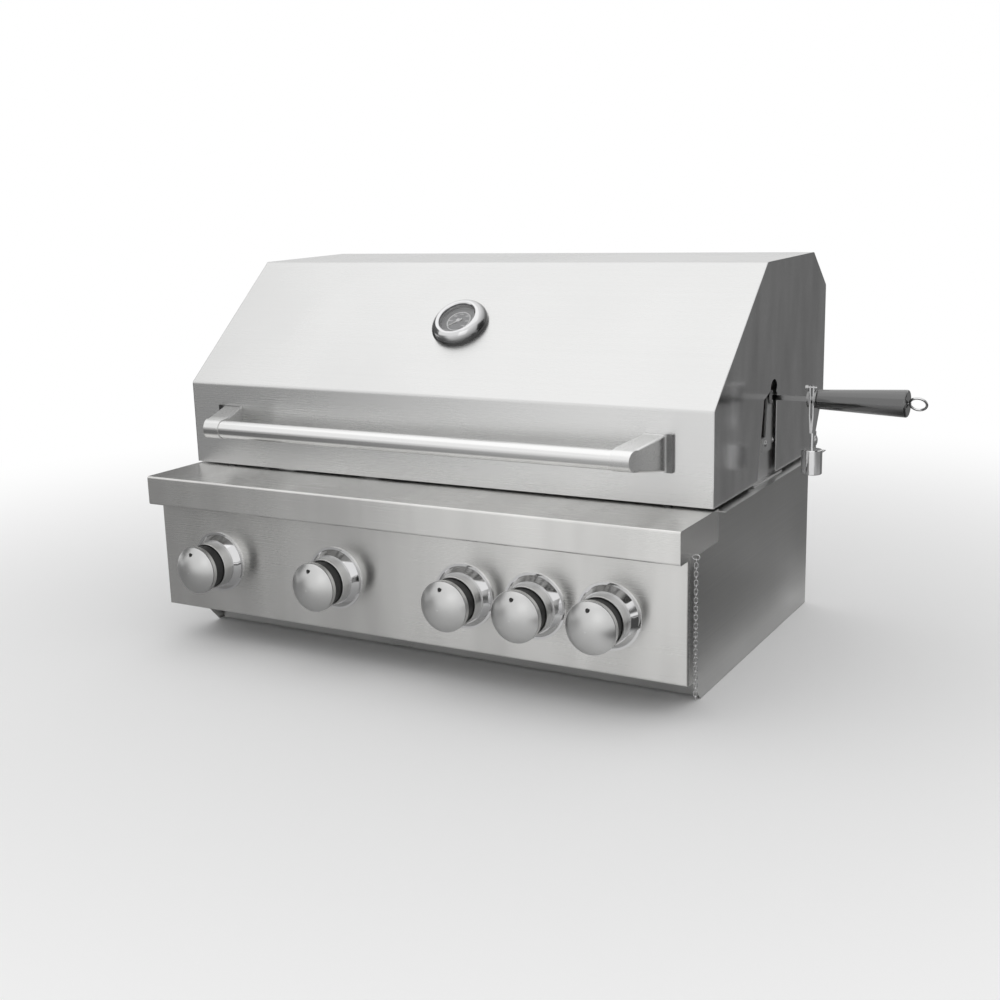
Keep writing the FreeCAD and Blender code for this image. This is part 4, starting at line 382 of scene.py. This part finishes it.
class GRILL_OT_handle(bpy.types.Operator):
    """Satin tube and cast brackets of the hood's handle"""
    bl_idname = "grill.handle"
    bl_label = "Hood handle"

    # Shares of the tube's height and of its painted shade there, a painted dark reflection band
    painted_band_stops = ((0.0, 1.0), (0.2, 1.0), (0.31, 0.62), (0.5, 0.58), (0.6, 0.85), (0.68, 1.0))
    # Painted shade: brightness of the castings' ends, of the left arm and of the rim of each foot
    painted_end_shade = 0.72
    painted_left_shade = 0.55
    painted_foot_shade = 0.2
    # How squarely a face points along the tube where it begins to count as an end and where it is one
    end_facing = (0.8, 0.95)
    # Half the stretch, about the hood's middle, that parts the left arm from the right one
    middle = 0.2
    # Thickness of a foot, width of its painted dark rim, and how softly the rim begins
    foot_plate = 0.005
    foot_rim = 0.009
    foot_blur = 0.003
    foot_edge = 0.0004

    def execute(self, context):
        tones = context.scene.grill_finishes
        dress(self.tube(tones), "handle_bar")
        dress(self.casting(tones), "handle_brackets")
        return {"FINISHED"}

    def tube(self, tones):
        """Satin tube with a fine grain along it and a painted dark reflection band."""
        tube = Finish("handle_tube", tones.handle, 0.2, metallic=1.0, Anisotropic=0.5)
        # Painted reflection: a dark band along the tube, painted into its colour
        tube.tint(tube.vector("SCALE", tones.handle, self.painted_band_shade(tube)))
        fine = fine_grain(tube, "X")
        tube.rough(tube.between(fine, 0.16, 0.25))
        tube.bump(fine, strength=GRAIN_STRENGTH, distance=GRAIN_DEPTH)
        tube.brushed_along("X")
        return tube.material

    def casting(self, tones):
        """Satin casting with painted shade: darker on its ends, on the left arm and on the outer rim of
        each foot, with the tube's painted band at the front.
        """
        cast = Finish("handle_casting", tones.handle, 0.3, metallic=1.0)
        place = cast.parts(cast.place)
        reach = cast.sums("ABSOLUTE", place["X"])
        facing = cast.sums("ABSOLUTE", cast.parts(cast.normal())["X"])
        end_on = cast.between(facing, 0, 1, *self.end_facing)
        arm = cast.between(place["Y"], 0, 1, TUBE_AXIS.y, TUBE_AXIS.y + TUBE_RADIUS)
        arm_shade = cast.between(place["X"], self.painted_left_shade, 1, -self.middle, self.middle)
        # Painted shade: the tube's dark band ahead of the tube's axis, a darker left arm behind it
        front = self.mixed(cast, arm, self.painted_band_shade(cast), arm_shade)
        foot_front = BRACKET_HIGH.y - self.foot_plate - self.foot_edge
        foot_side = BRACKET_HIGH.x - self.foot_rim
        behind = cast.between(place["Y"], 0, 1, foot_front - self.foot_edge, foot_front)
        outside = cast.between(reach, 0, 1, foot_side - self.foot_blur, foot_side + self.foot_blur)
        rim = cast.sums("MULTIPLY", behind, outside)
        # Painted shade: darker ends and dark rims on the feet
        shade = cast.sums("MULTIPLY", self.mixed(cast, end_on, front, self.painted_end_shade),
                          cast.between(rim, 1, self.painted_foot_shade, 0, 1))
        cast.tint(cast.vector("SCALE", tones.handle, shade))
        grain = cast.noise(cast.place, scale=900.0)
        cast.rough(cast.between(grain, 0.24, 0.36))
        cast.bump(grain, strength=0.05, distance=GRAIN_DEPTH)
        return cast.material

    def mixed(self, finish, amount, first, second):
        """The first shade where the amount is 0, the second where it is 1."""
        rest = finish.sums("SUBTRACT", 1.0, amount)
        return finish.sums("ADD", finish.sums("MULTIPLY", rest, first),
                           finish.sums("MULTIPLY", amount, second))

    def painted_band_shade(self, finish):
        """Painted shade: grey that darkens a band along the tube, just below its middle, as a painted dark
        reflection.
        """
        height = finish.sums("SUBTRACT", finish.parts(finish.place)["Z"], TUBE_AXIS.z)
        stops = ((stop, (grey, grey, grey)) for stop, grey in self.painted_band_stops)
        return finish.ramp(finish.between(height, 0, 1, -TUBE_RADIUS, TUBE_RADIUS), *stops)


# Knobs


class GRILL_OT_knobs(bpy.types.Operator):
    """Domed caps, black cores and stepped bezels of the knobs, with their index marks"""
    bl_idname = "grill.knobs"
    bl_label = "Knobs"

    # Ahead of the panel, where the bezel's chrome turns into its satin collar
    collar_start = 0.0104
    collar_end = 0.0112
    collar_roughness = 0.26
    # Steps of the index mark: inset and depth, as shares of its radius
    dot_steps = ((0.3, 0.12), (0.4, 0.06))
    dot_sides = 40

    def execute(self, context):
        tones = context.scene.grill_finishes
        dress(self.cap(tones), *(f"knob_cap_{n}" for n in KNOBS))
        dress(self.core(tones), *(f"knob_core_{n}" for n in KNOBS))
        dress(self.bezel(tones), "knob_bezels")
        self.index_marks(tones, context.scene.grill_marks)
        return {"FINISHED"}

    def cap(self, tones):
        cap = Finish("knob_cap_satin", tones.cap, tones.cap_roughness, metallic=1.0)
        rings = turned_rings(cap, 2600.0)
        peen = cap.noise(cap.place, scale=1800.0, detail=3.0)
        cap.rough(cap.sums("ADD", cap.between(rings, -0.04, 0.04),
                           cap.between(peen, tones.cap_roughness - 0.04, tones.cap_roughness + 0.05)))
        cap.mottled(peen, tones.cap, 0.95, 1.05)
        cap.bump(rings, strength=0.05, distance=RING_DEPTH)
        return cap.material

    def core(self, tones):
        core = Finish("knob_core_black", tones.black, 0.45)
        grain = core.noise(core.place, scale=1500.0, detail=3.0)
        core.rough(core.between(grain, 0.38, 0.55))
        core.bump(grain, strength=0.1, distance=GRAIN_DEPTH)
        return core.material

    def bezel(self, tones):
        bezel = Finish("knob_bezel", tones.chrome, 0.06, metallic=1.0)
        front = bezel.parts(bezel.place)["Y"]
        collar = bezel.between(front, 1, 0, PANEL_FACE - self.collar_end, PANEL_FACE - self.collar_start)
        rings = turned_rings(bezel, 2200.0)
        satin = bezel.sums("MULTIPLY", collar, self.collar_roughness)
        bezel.rough(bezel.sums("ADD", satin, bezel.between(rings, 0.035, 0.09)))
        bezel.tint(bezel.ramp(collar, (0.0, tones.chrome), (1.0, tones.cap)))
        bezel.bump(rings, strength=0.04, distance=RING_DEPTH)
        return bezel.material

    def index_marks(self, tones, sizes):
        enamel = Finish("index_enamel", tones.black, 0.3)
        speck = enamel.noise(enamel.place, scale=900.0, detail=2.0)
        enamel.rough(enamel.between(speck, 0.25, 0.4))
        dot = self.dot(sizes.dot_radius)
        for number in KNOBS:
            centre = Vector(JOINTS[f"knob_{number}_turn"]["pos_m"])
            spot = centre + Vector((0, -sizes.dot_front, sizes.dot_offset))
            place = Matrix.Translation(spot) @ Matrix.Rotation(math.pi / 2, 4, "X")
            mark = settle(copy_of(dot, place))
            mark.name = f"knob_{number}_index"
            finished(mark, enamel.material, f"knob_{number}")
        bpy.data.objects.remove(dot)

    def dot(self, radius):
        """Shallow round dimple that faces up."""
        lone()
        bpy.ops.mesh.primitive_circle_add(vertices=self.dot_sides, radius=radius, fill_type="NGON")
        dot = named("index_mark")
        bpy.ops.object.mode_set(mode="EDIT")
        bpy.ops.mesh.select_all(action="SELECT")
        for inset, depth in self.dot_steps:
            bpy.ops.mesh.inset(thickness=radius * inset)
            bpy.ops.transform.translate(value=(0, 0, -radius * depth))
        bpy.ops.object.mode_set(mode="OBJECT")
        return dot


# Thermometer


def gauge_place(height):
    """Frame on the slope at the gauge: X to the right, Y up the slope, Z out of the dial."""
    across = Vector((1, 0, 0))
    up = GAUGE_OUT.cross(across)
    turn = Matrix((across, up, GAUGE_OUT)).transposed().to_4x4()
    return Matrix.Translation(GAUGE_CENTRE + GAUGE_OUT * height) @ turn


class GRILL_OT_gauge(bpy.types.Operator):
    """Thermometer: plated case, printed dial, pointer and glass"""
    bl_idname = "grill.gauge"
    bl_label = "Thermometer"

    # Degrees from the first number to the last
    sweep = 260.0
    numbers = ("100", "200", "300", "400", "500", "600", "700")
    marks_between = 5
    ring_sides = 96
    case_height = 0.016
    # Shares of the case's height and of its painted shade there
    painted_case_shades = ((0.0, 0.1), (0.3, 0.12), (0.5, 0.28), (0.72, 0.62), (0.88, 0.95), (1.0, 1.0))

    def execute(self, context):
        tones = context.scene.grill_finishes
        sizes = context.scene.grill_marks
        paint = self.paint(tones)
        dress(self.plating(tones), "gauge_case")
        dress(self.dial(tones), "gauge_dial")
        dress(paint, "gauge_needle")
        dress(self.glass(), "gauge_glass")
        pieces = [self.ring(sizes), *self.marks(sizes), *self.figures(sizes)]
        for piece in pieces:
            settle(piece)
        face = joined(pieces, "dial_marks")
        settle(face, gauge_place(sizes.dial_height))
        finished(face, paint, "hood")
        return {"FINISHED"}

    def plating(self, tones):
        """Bright plating with painted shade that darkens it towards the hood."""
        case = Finish("gauge_plating", tones.chrome, 0.12, metallic=1.0)
        outward = case.vector("DOT_PRODUCT", case.place, GAUGE_OUT)
        height = case.sums("SUBTRACT", outward, GAUGE_CENTRE.dot(GAUGE_OUT))
        stops = ((stop, scaled(tones.chrome, part)) for stop, part in self.painted_case_shades)
        # Painted shade: dark low on the case, full brightness at its rim
        case.tint(case.ramp(case.between(height, 0, 1, 0.0, self.case_height), *stops))
        case.rough(case.between(case.noise(case.place, scale=60.0), 0.08, 0.18))
        return case.material

    def dial(self, tones):
        dial = Finish("dial_paint", tones.dial, 0.5, metallic=0.3)
        grain = dial.noise(dial.place, scale=1200.0, detail=3.0)
        dial.mottled(grain, tones.dial, 0.85, 1.15)
        dial.rough(dial.between(grain, 0.42, 0.58))
        return dial.material

    def paint(self, tones):
        paint = Finish("dial_print", tones.print, 0.5)
        grain = paint.noise(paint.place, scale=1500.0, detail=2.0)
        paint.rough(paint.between(grain, 0.4, 0.6))
        return paint.material

    def glass(self):
        glass = Finish("gauge_glass_clear", (1, 1, 1), 0.02, IOR=1.45, Transmission_Weight=1.0)
        smear = glass.noise(glass.place, scale=40.0, detail=3.0)
        glass.rough(glass.between(smear, 0.0, 0.05))
        return glass.material

    def angle(self, portion):
        """Turn from the dial's top, for a portion of the sweep."""
        return math.radians(self.sweep * (0.5 - portion))

    def ring(self, sizes):
        lone()
        bpy.ops.mesh.primitive_circle_add(
            vertices=self.ring_sides, radius=sizes.ring_radius, fill_type="NGON")
        ring = named("dial_ring")
        bpy.ops.object.mode_set(mode="EDIT")
        bpy.ops.mesh.select_all(action="SELECT")
        bpy.ops.mesh.inset(thickness=sizes.ring_width)
        bpy.ops.mesh.delete(type="FACE")
        bpy.ops.mesh.select_all(action="SELECT")
        self.thicken(sizes)
        return ring

    def thicken(self, sizes):
        """Raises the selected faces by the print's thickness and leaves edit mode."""
        bpy.ops.mesh.extrude_region_move(TRANSFORM_OT_translate={"value": (0, 0, sizes.print_thickness)})
        bpy.ops.mesh.select_all(action="SELECT")
        bpy.ops.mesh.normals_make_consistent(inside=False)
        bpy.ops.object.mode_set(mode="OBJECT")

    def mark(self, sizes, reach):
        outer = sizes.ring_radius - sizes.ring_width
        lone()
        bpy.ops.mesh.primitive_plane_add(size=1)
        bar = named("dial_mark")
        bar.scale = (sizes.mark_width, reach, 1)
        bar.location = (0, outer - reach / 2, 0)
        settle(bar)
        bpy.ops.object.mode_set(mode="EDIT")
        bpy.ops.mesh.select_all(action="SELECT")
        self.thicken(sizes)
        return bar

    def marks(self, sizes):
        steps = (len(self.numbers) - 1) * self.marks_between
        long_mark = self.mark(sizes, sizes.mark_length)
        short_mark = self.mark(sizes, sizes.mark_length / 2)
        made = []
        for step in range(steps + 1):
            source = short_mark if step % self.marks_between else long_mark
            made.append(copy_of(source, Matrix.Rotation(self.angle(step / steps), 4, "Z")))
        bpy.data.objects.remove(long_mark)
        bpy.data.objects.remove(short_mark)
        return made

    def figures(self, sizes):
        made = []
        for index, figure in enumerate(self.numbers):
            around = self.angle(index / (len(self.numbers) - 1))
            spot = (-math.sin(around) * sizes.number_radius, math.cos(around) * sizes.number_radius, 0)
            lone()
            bpy.ops.object.text_add(location=spot)
            text = bpy.context.active_object
            text.data.body = figure
            text.data.size = sizes.number_height
            text.data.align_x = "CENTER"
            text.data.align_y = "CENTER"
            text.data.extrude = sizes.print_thickness
            bpy.ops.object.convert(target="MESH")
            made.append(named(f"dial_{figure}"))
        return made


# Spit


class GRILL_OT_spit(bpy.types.Operator):
    """Spit rod, forks, bushings, glossy handle, ring and balance weight"""
    bl_idname = "grill.spit"
    bl_label = "Spit and balance"

    # Painted shade: the spit's drawn steel at half the tone of the grates' steel
    rod_painted_shade = 0.5

    def execute(self, context):
        tones = context.scene.grill_finishes
        # Painted shade: a darker copy of the drawn steel
        rod = scaled(tones.rod, self.rod_painted_shade)
        drawn = brushed("drawn_spit_steel", rod, 0.2, smear=0.3, contrast=0.05)
        dress(drawn, "spit_rod", "spit_forks", "spit_bushings")
        plating = polished("balance_plating", tones.chrome, 0.1)
        dress(plating, "balance_weight", "balance_arm", "hanging_ring")
        grip = Finish("spit_handle_black", tones.black, 0.16,
                      Specular_IOR_Level=0.9, Coat_Weight=1.0, Coat_IOR=1.8)
        ripple = grip.noise(grip.stretched((30, 400, 400)), detail=3.0)
        grip.rough(grip.between(ripple, 0.12, 0.24))
        grip.bump(ripple, strength=0.05, distance=RIPPLE_DEPTH)
        dress(grip.material, "spit_handle")
        return {"FINISHED"}


# Gas train, burners and grates


class GRILL_OT_burners(bpy.types.Operator):
    """Manifold, valves, burners, flame tamers, rear burner and grates"""
    bl_idname = "grill.burners"
    bl_label = "Burners and grates"

    pipe_grey = (0.2, 0.2, 0.2)
    pipe_dark = (0.16, 0.16, 0.16)
    pipe_light = (0.25, 0.25, 0.245)
    # Holes to the metre in the rear burner's tile, and their depth
    tile_holes = 260.0
    hole_depth = 0.001

    def execute(self, context):
        tones = context.scene.grill_finishes
        dress(self.brass(tones), "gas_valves", *(f"valve_stem_{n}" for n in KNOBS))
        dress(self.pipe(), "gas_manifold", "rear_burner_pipe")
        burner = brushed("burner_steel", tones.burner, 0.36, "Y", smear=0.2, contrast=0.1, cloud=0.08)
        dress(burner, "burner_tubes", "flame_tamers")
        grate = brushed("grate_rod", tones.rod, 0.24, "Y", smear=0.2, contrast=0.05, cloud=0.05)
        dress(grate, "cooking_grates")
        dress(self.tile(tones), "rear_burner_tile")
        return {"FINISHED"}

    def brass(self, tones):
        brass = Finish("valve_brass", tones.brass, 0.28, metallic=1.0)
        grain = brass.noise(brass.stretched((400, 30, 400)))
        brass.rough(brass.between(grain, 0.2, 0.38))
        brass.mottled(grain, tones.brass, 0.9, 1.08)
        return brass.material

    def pipe(self):
        pipe = Finish("manifold_grey", self.pipe_grey, 0.45, metallic=0.6)
        speck = pipe.noise(pipe.place, scale=300.0)
        pipe.tint(pipe.ramp(speck, (0.3, self.pipe_dark), (0.7, self.pipe_light)))
        pipe.rough(pipe.between(speck, 0.36, 0.55))
        return pipe.material

    def tile(self, tones):
        """Ceramic with rows of small holes, painted dark inside for their shade."""
        tile = Finish("burner_tile", tones.tile, 0.85)
        holes = tile.add(
            "TexVoronoi", Vector=tile.stretched((1, 0, 1)), Scale=self.tile_holes, Randomness=0.0)
        pore = tile.between(holes.outputs["Distance"], 0, 1, 0.18, 0.3)
        # Painted shade inside each hole
        tile.tint(tile.ramp(pore, (0.0, scaled(tones.tile, 0.12)), (1.0, tones.tile)))
        tile.bump(pore, strength=0.6, distance=self.hole_depth)
        return tile.material


class GRILL_OT_hardware(bpy.types.Operator):
    """Fasteners, hinge bolts, bumpers and the lighting chain"""
    bl_idname = "grill.hardware"
    bl_label = "Hardware"

    def execute(self, context):
        tones = context.scene.grill_finishes
        plain = Finish("fastener_steel", tones.rod, 0.25, metallic=1.0)
        grain = plain.noise(plain.place, scale=700.0)
        plain.rough(plain.between(grain, 0.18, 0.34))
        plain.mottled(grain, tones.rod, 0.92, 1.05)
        dress(plain.material, "hood_fasteners", "hinge_bolts", "cradle_screws", "chain_eye", "fork_screws",
              "clamp_screw", "lighting_chain")
        rubber = Finish("bumper_rubber", tones.rubber, 0.8)
        grain = rubber.noise(rubber.place, scale=900.0)
        rubber.rough(rubber.between(grain, 0.7, 0.9))
        rubber.bump(grain, strength=0.2, distance=RIPPLE_DEPTH)
        dress(rubber.material, "hood_bumpers")
        return {"FINISHED"}


# Stage


class GRILL_OT_stage(bpy.types.Operator):
    """Pale floor, soft lamps, grey cards and the camera"""
    bl_idname = "grill.stage"
    bl_label = "Stage"

    eye = Vector((0.935, -1.6825, 0.608))
    forward = Vector((-0.481, 0.848, -0.222))
    upward = Vector((-0.0863, 0.2061, 0.9742))
    sensor_width = 36
    near_clip = 0.01
    floor_size = 24
    floor_drop = 0.0005
    # Distances from the middle where the floor starts to fade to white and where it is white
    floor_grey = 0.6
    floor_white = 1.8
    # Lamps: name, place, target, width and depth, and the setting that holds the power
    lamps = (
        ("overhead_lamp", (-0.3, -0.35, 2.3), (-0.1, -0.1, 0.3), (2.8, 2.2), "overhead"),
        ("front_lamp", (0.9, -2.9, 1.5), (0, -0.2, 0.25), (1.6, 1.6), "front"))
    # Fades: direction, and how far along it a card begins to show and is whole
    top_fade = ((0, 0, -1), -1.9, -0.8)
    right_top_fade = ((0, 0, -1), -2.1, -1.2)
    left_floor_fade = ((-0.85, 0.525, 0), -0.65, 0.35)
    left_wall_fade = ((-1, 0, 0), 1.4, 4.0)
    right_floor_fades = (((1, 0, 0), -0.5, 0.2), ((0, 1, 0), 0.1, 0.6))
    right_wall_fade = ((1, 0, 0), 0.3, 0.8)
    side_fades = (((0, 0, 1), 0.3, 0.7), ((0, 0, -1), -3.0, -2.4))
    back_fades = (((-1, 0, 0), -0.1, 0.6), ((0, 0, 1), 0.5, 1.0))
    near_fade = ((1, 0, 0), 1.2, 1.8)
    under_handle_fade = ((1, 0, 0), 0.4, 0.5)
    # Cards: name, middle, size with 0 for the thickness, grey, and fades
    cards = (
        ("left_floor_card", (-2.2, -1.8, 0.004), (5.0, 3.6, 0), 0.24, left_floor_fade),
        ("left_wall_card", (-4.6, -3.6, 1.0), (8.4, 0, 2.0), 0.26, left_wall_fade, top_fade),
        ("left_side_card", (-3.4, 0.8, 1.6), (0, 4.6, 2.8), 0.12, *side_fades),
        ("right_floor_card", (1.5, 2.7, 0.004), (4.2, 5.4, 0), 0.2, *right_floor_fades),
        ("right_wall_card", (2.4, 5.4, 1.1), (4.4, 0, 2.2), 0.2, right_wall_fade, right_top_fade),
        ("right_side_card", (3.4, 1.2, 1.6), (0, 4.0, 2.8), 0.12, *side_fades),
        ("back_card", (-3.0, 4.0, 1.8), (6.4, 0, 2.8), 0.72, *back_fades),
        ("near_card", (2.6, -0.4, 0.004), (2.8, 2.0, 0), 0.26, near_fade),
        ("under_handle_card", (0.9, -0.2, 0.004), (1.0, 1.1, 0), 0.08, under_handle_fade))

    def execute(self, context):
        stage = context.scene.grill_stage
        self.sky(context.scene, stage)
        self.ground(stage)
        for name, place, target, size, power in self.lamps:
            self.lamp(name, place, target, size, getattr(stage, power))
        for card in self.cards:
            self.card(*card)
        self.camera(context.scene, stage)
        context.scene.view_settings.view_transform = "Standard"
        return {"FINISHED"}

    def seen(self, tree):
        """1 for what the eye, a reflection or glass sees, 0 for light falling on things."""
        path = tree.nodes.new("ShaderNodeLightPath")
        amount = path.outputs["Is Camera Ray"]
        for ray in ("Is Glossy Ray", "Is Transmission Ray"):
            larger = tree.nodes.new("ShaderNodeMath")
            larger.operation = "MAXIMUM"
            tree.links.new(amount, larger.inputs[0])
            tree.links.new(path.outputs[ray], larger.inputs[1])
            amount = larger.outputs[0]
        return amount

    def blend(self, tree, amount, first, second, output):
        """Sends the first shader to the output where the amount is 0, the second where it is 1."""
        mix = tree.nodes.new("ShaderNodeMixShader")
        tree.links.new(amount, mix.inputs["Fac"])
        tree.links.new(first.outputs[0], mix.inputs[1])
        tree.links.new(second.outputs[0], mix.inputs[2])
        tree.links.new(mix.outputs[0], tree.nodes[output].inputs["Surface"])

    def sky(self, scene, stage):
        world = bpy.data.worlds.new("studio")
        scene.world = world
        world.use_nodes = True
        tree = world.node_tree
        light = tree.nodes["Background"]
        white = tree.nodes.new("ShaderNodeBackground")
        for node, strength in ((light, stage.sky), (white, 1.0)):
            node.inputs["Color"].default_value = (1, 1, 1, 1)
            node.inputs["Strength"].default_value = strength
        self.blend(tree, self.seen(tree), light, white, "World Output")

    def ground(self, stage):
        """Floor that keeps the shadow near the grill and fades to white further out."""
        lone()
        bpy.ops.mesh.primitive_plane_add(size=self.floor_size, location=(0, 0, -self.floor_drop))
        floor = named("floor")
        finish = Finish("pale_floor", stage.floor, 0.9)
        glow = finish.add("Emission", Color=(1, 1, 1, 1))
        level = finish.vector("MULTIPLY", finish.place, (1, 1, 0))
        far = finish.between(finish.vector("LENGTH", level), 0, 1, self.floor_grey, self.floor_white)
        far.node.interpolation_type = "SMOOTHSTEP"
        amount = finish.sums("MULTIPLY", far, self.seen(finish.tree))
        self.blend(finish.tree, amount, finish.shader, glow, "Material Output")
        floor.data.materials.append(finish.material)

    def lamp(self, name, place, target, size, power):
        lone()
        bpy.ops.object.light_add(type="AREA", location=place)
        lamp = named(name)
        lamp.data.shape = "RECTANGLE"
        lamp.data.size = size[0]
        lamp.data.size_y = size[1]
        lamp.data.energy = power
        lamp.rotation_euler = (Vector(target) - Vector(place)).to_track_quat("-Z", "Y").to_euler()

    def card(self, name, place, size, grey, *fades):
        """Grey card that only reflections and glass see. One that lies flat shows its top alone."""
        lone()
        bpy.ops.mesh.primitive_plane_add(size=1, location=place)
        card = named(name)
        if size[0] == 0:
            card.rotation_euler.y = math.pi / 2
        elif size[1] == 0:
            card.rotation_euler.x = math.pi / 2
        card.scale = (size[0] or size[2], size[1] or size[2], 1)
        settle(card)
        tint = (grey, grey, grey)
        finish = Finish(name, tint, 1.0)
        amount = 1.0
        if size[2] == 0:
            amount = finish.sums("SUBTRACT", 1.0, finish.add("NewGeometry").outputs["Backfacing"])
        for direction, start, end in fades:
            edge = finish.between(finish.vector("DOT_PRODUCT", finish.place, direction), 0, 1, start, end)
            edge.node.interpolation_type = "SMOOTHSTEP"
            amount = finish.sums("MULTIPLY", edge, amount)
        clear = finish.add("BsdfTransparent")
        dark = finish.add("Emission", Color=(*tint, 1))
        self.blend(finish.tree, amount, clear, dark, "Material Output")
        card.data.materials.append(finish.material)
        card.visible_camera = False
        card.visible_diffuse = False
        card.visible_shadow = False

    def camera(self, scene, stage):
        lone()
        bpy.ops.object.camera_add(location=self.eye)
        camera = named("camera")
        camera.data.sensor_width = self.sensor_width
        camera.data.lens = stage.lens
        camera.data.clip_start = self.near_clip
        back = -self.forward.normalized()
        right = self.upward.cross(back).normalized()
        turn = Matrix((right, back.cross(right), back)).transposed().to_4x4()
        camera.matrix_world = Matrix.Translation(self.eye) @ turn
        scene.camera = camera


# Add-on


class GRILL_PT_sidebar(bpy.types.Panel):
    """Steps that dress the grill"""
    bl_label = "Grill"
    bl_idname = "GRILL_PT_sidebar"
    bl_space_type = "VIEW_3D"
    bl_region_type = "UI"
    bl_category = "Grill"

    def draw(self, context):
        for operator in OPERATORS:
            self.layout.operator(operator.bl_idname)
        for group in SETTINGS:
            settings = getattr(context.scene, group)
            for name in settings.__annotations__:
                self.layout.prop(settings, name)


OPERATORS = (
    GRILL_OT_sheet_metal, GRILL_OT_handle, GRILL_OT_knobs, GRILL_OT_gauge, GRILL_OT_spit, GRILL_OT_burners,
    GRILL_OT_hardware, GRILL_OT_stage)
SETTINGS = {"grill_finishes": GrillFinishes, "grill_marks": GrillMarks, "grill_stage": GrillStage}


def register():
    for group in SETTINGS.values():
        bpy.utils.register_class(group)
    for name, group in SETTINGS.items():
        setattr(bpy.types.Scene, name, PointerProperty(type=group))
    for operator in (*OPERATORS, GRILL_PT_sidebar):
        bpy.utils.register_class(operator)


def unregister():
    for operator in reversed((*OPERATORS, GRILL_PT_sidebar)):
        bpy.utils.unregister_class(operator)
    for name, group in SETTINGS.items():
        delattr(bpy.types.Scene, name)
        bpy.utils.unregister_class(group)


def main():
    register()
    bpy.ops.grill.sheet_metal()
    bpy.ops.grill.handle()
    bpy.ops.grill.knobs()
    bpy.ops.grill.gauge()
    bpy.ops.grill.spit()
    bpy.ops.grill.burners()
    bpy.ops.grill.hardware()
    bpy.ops.grill.stage()


if __name__ == "__main__":
    main()
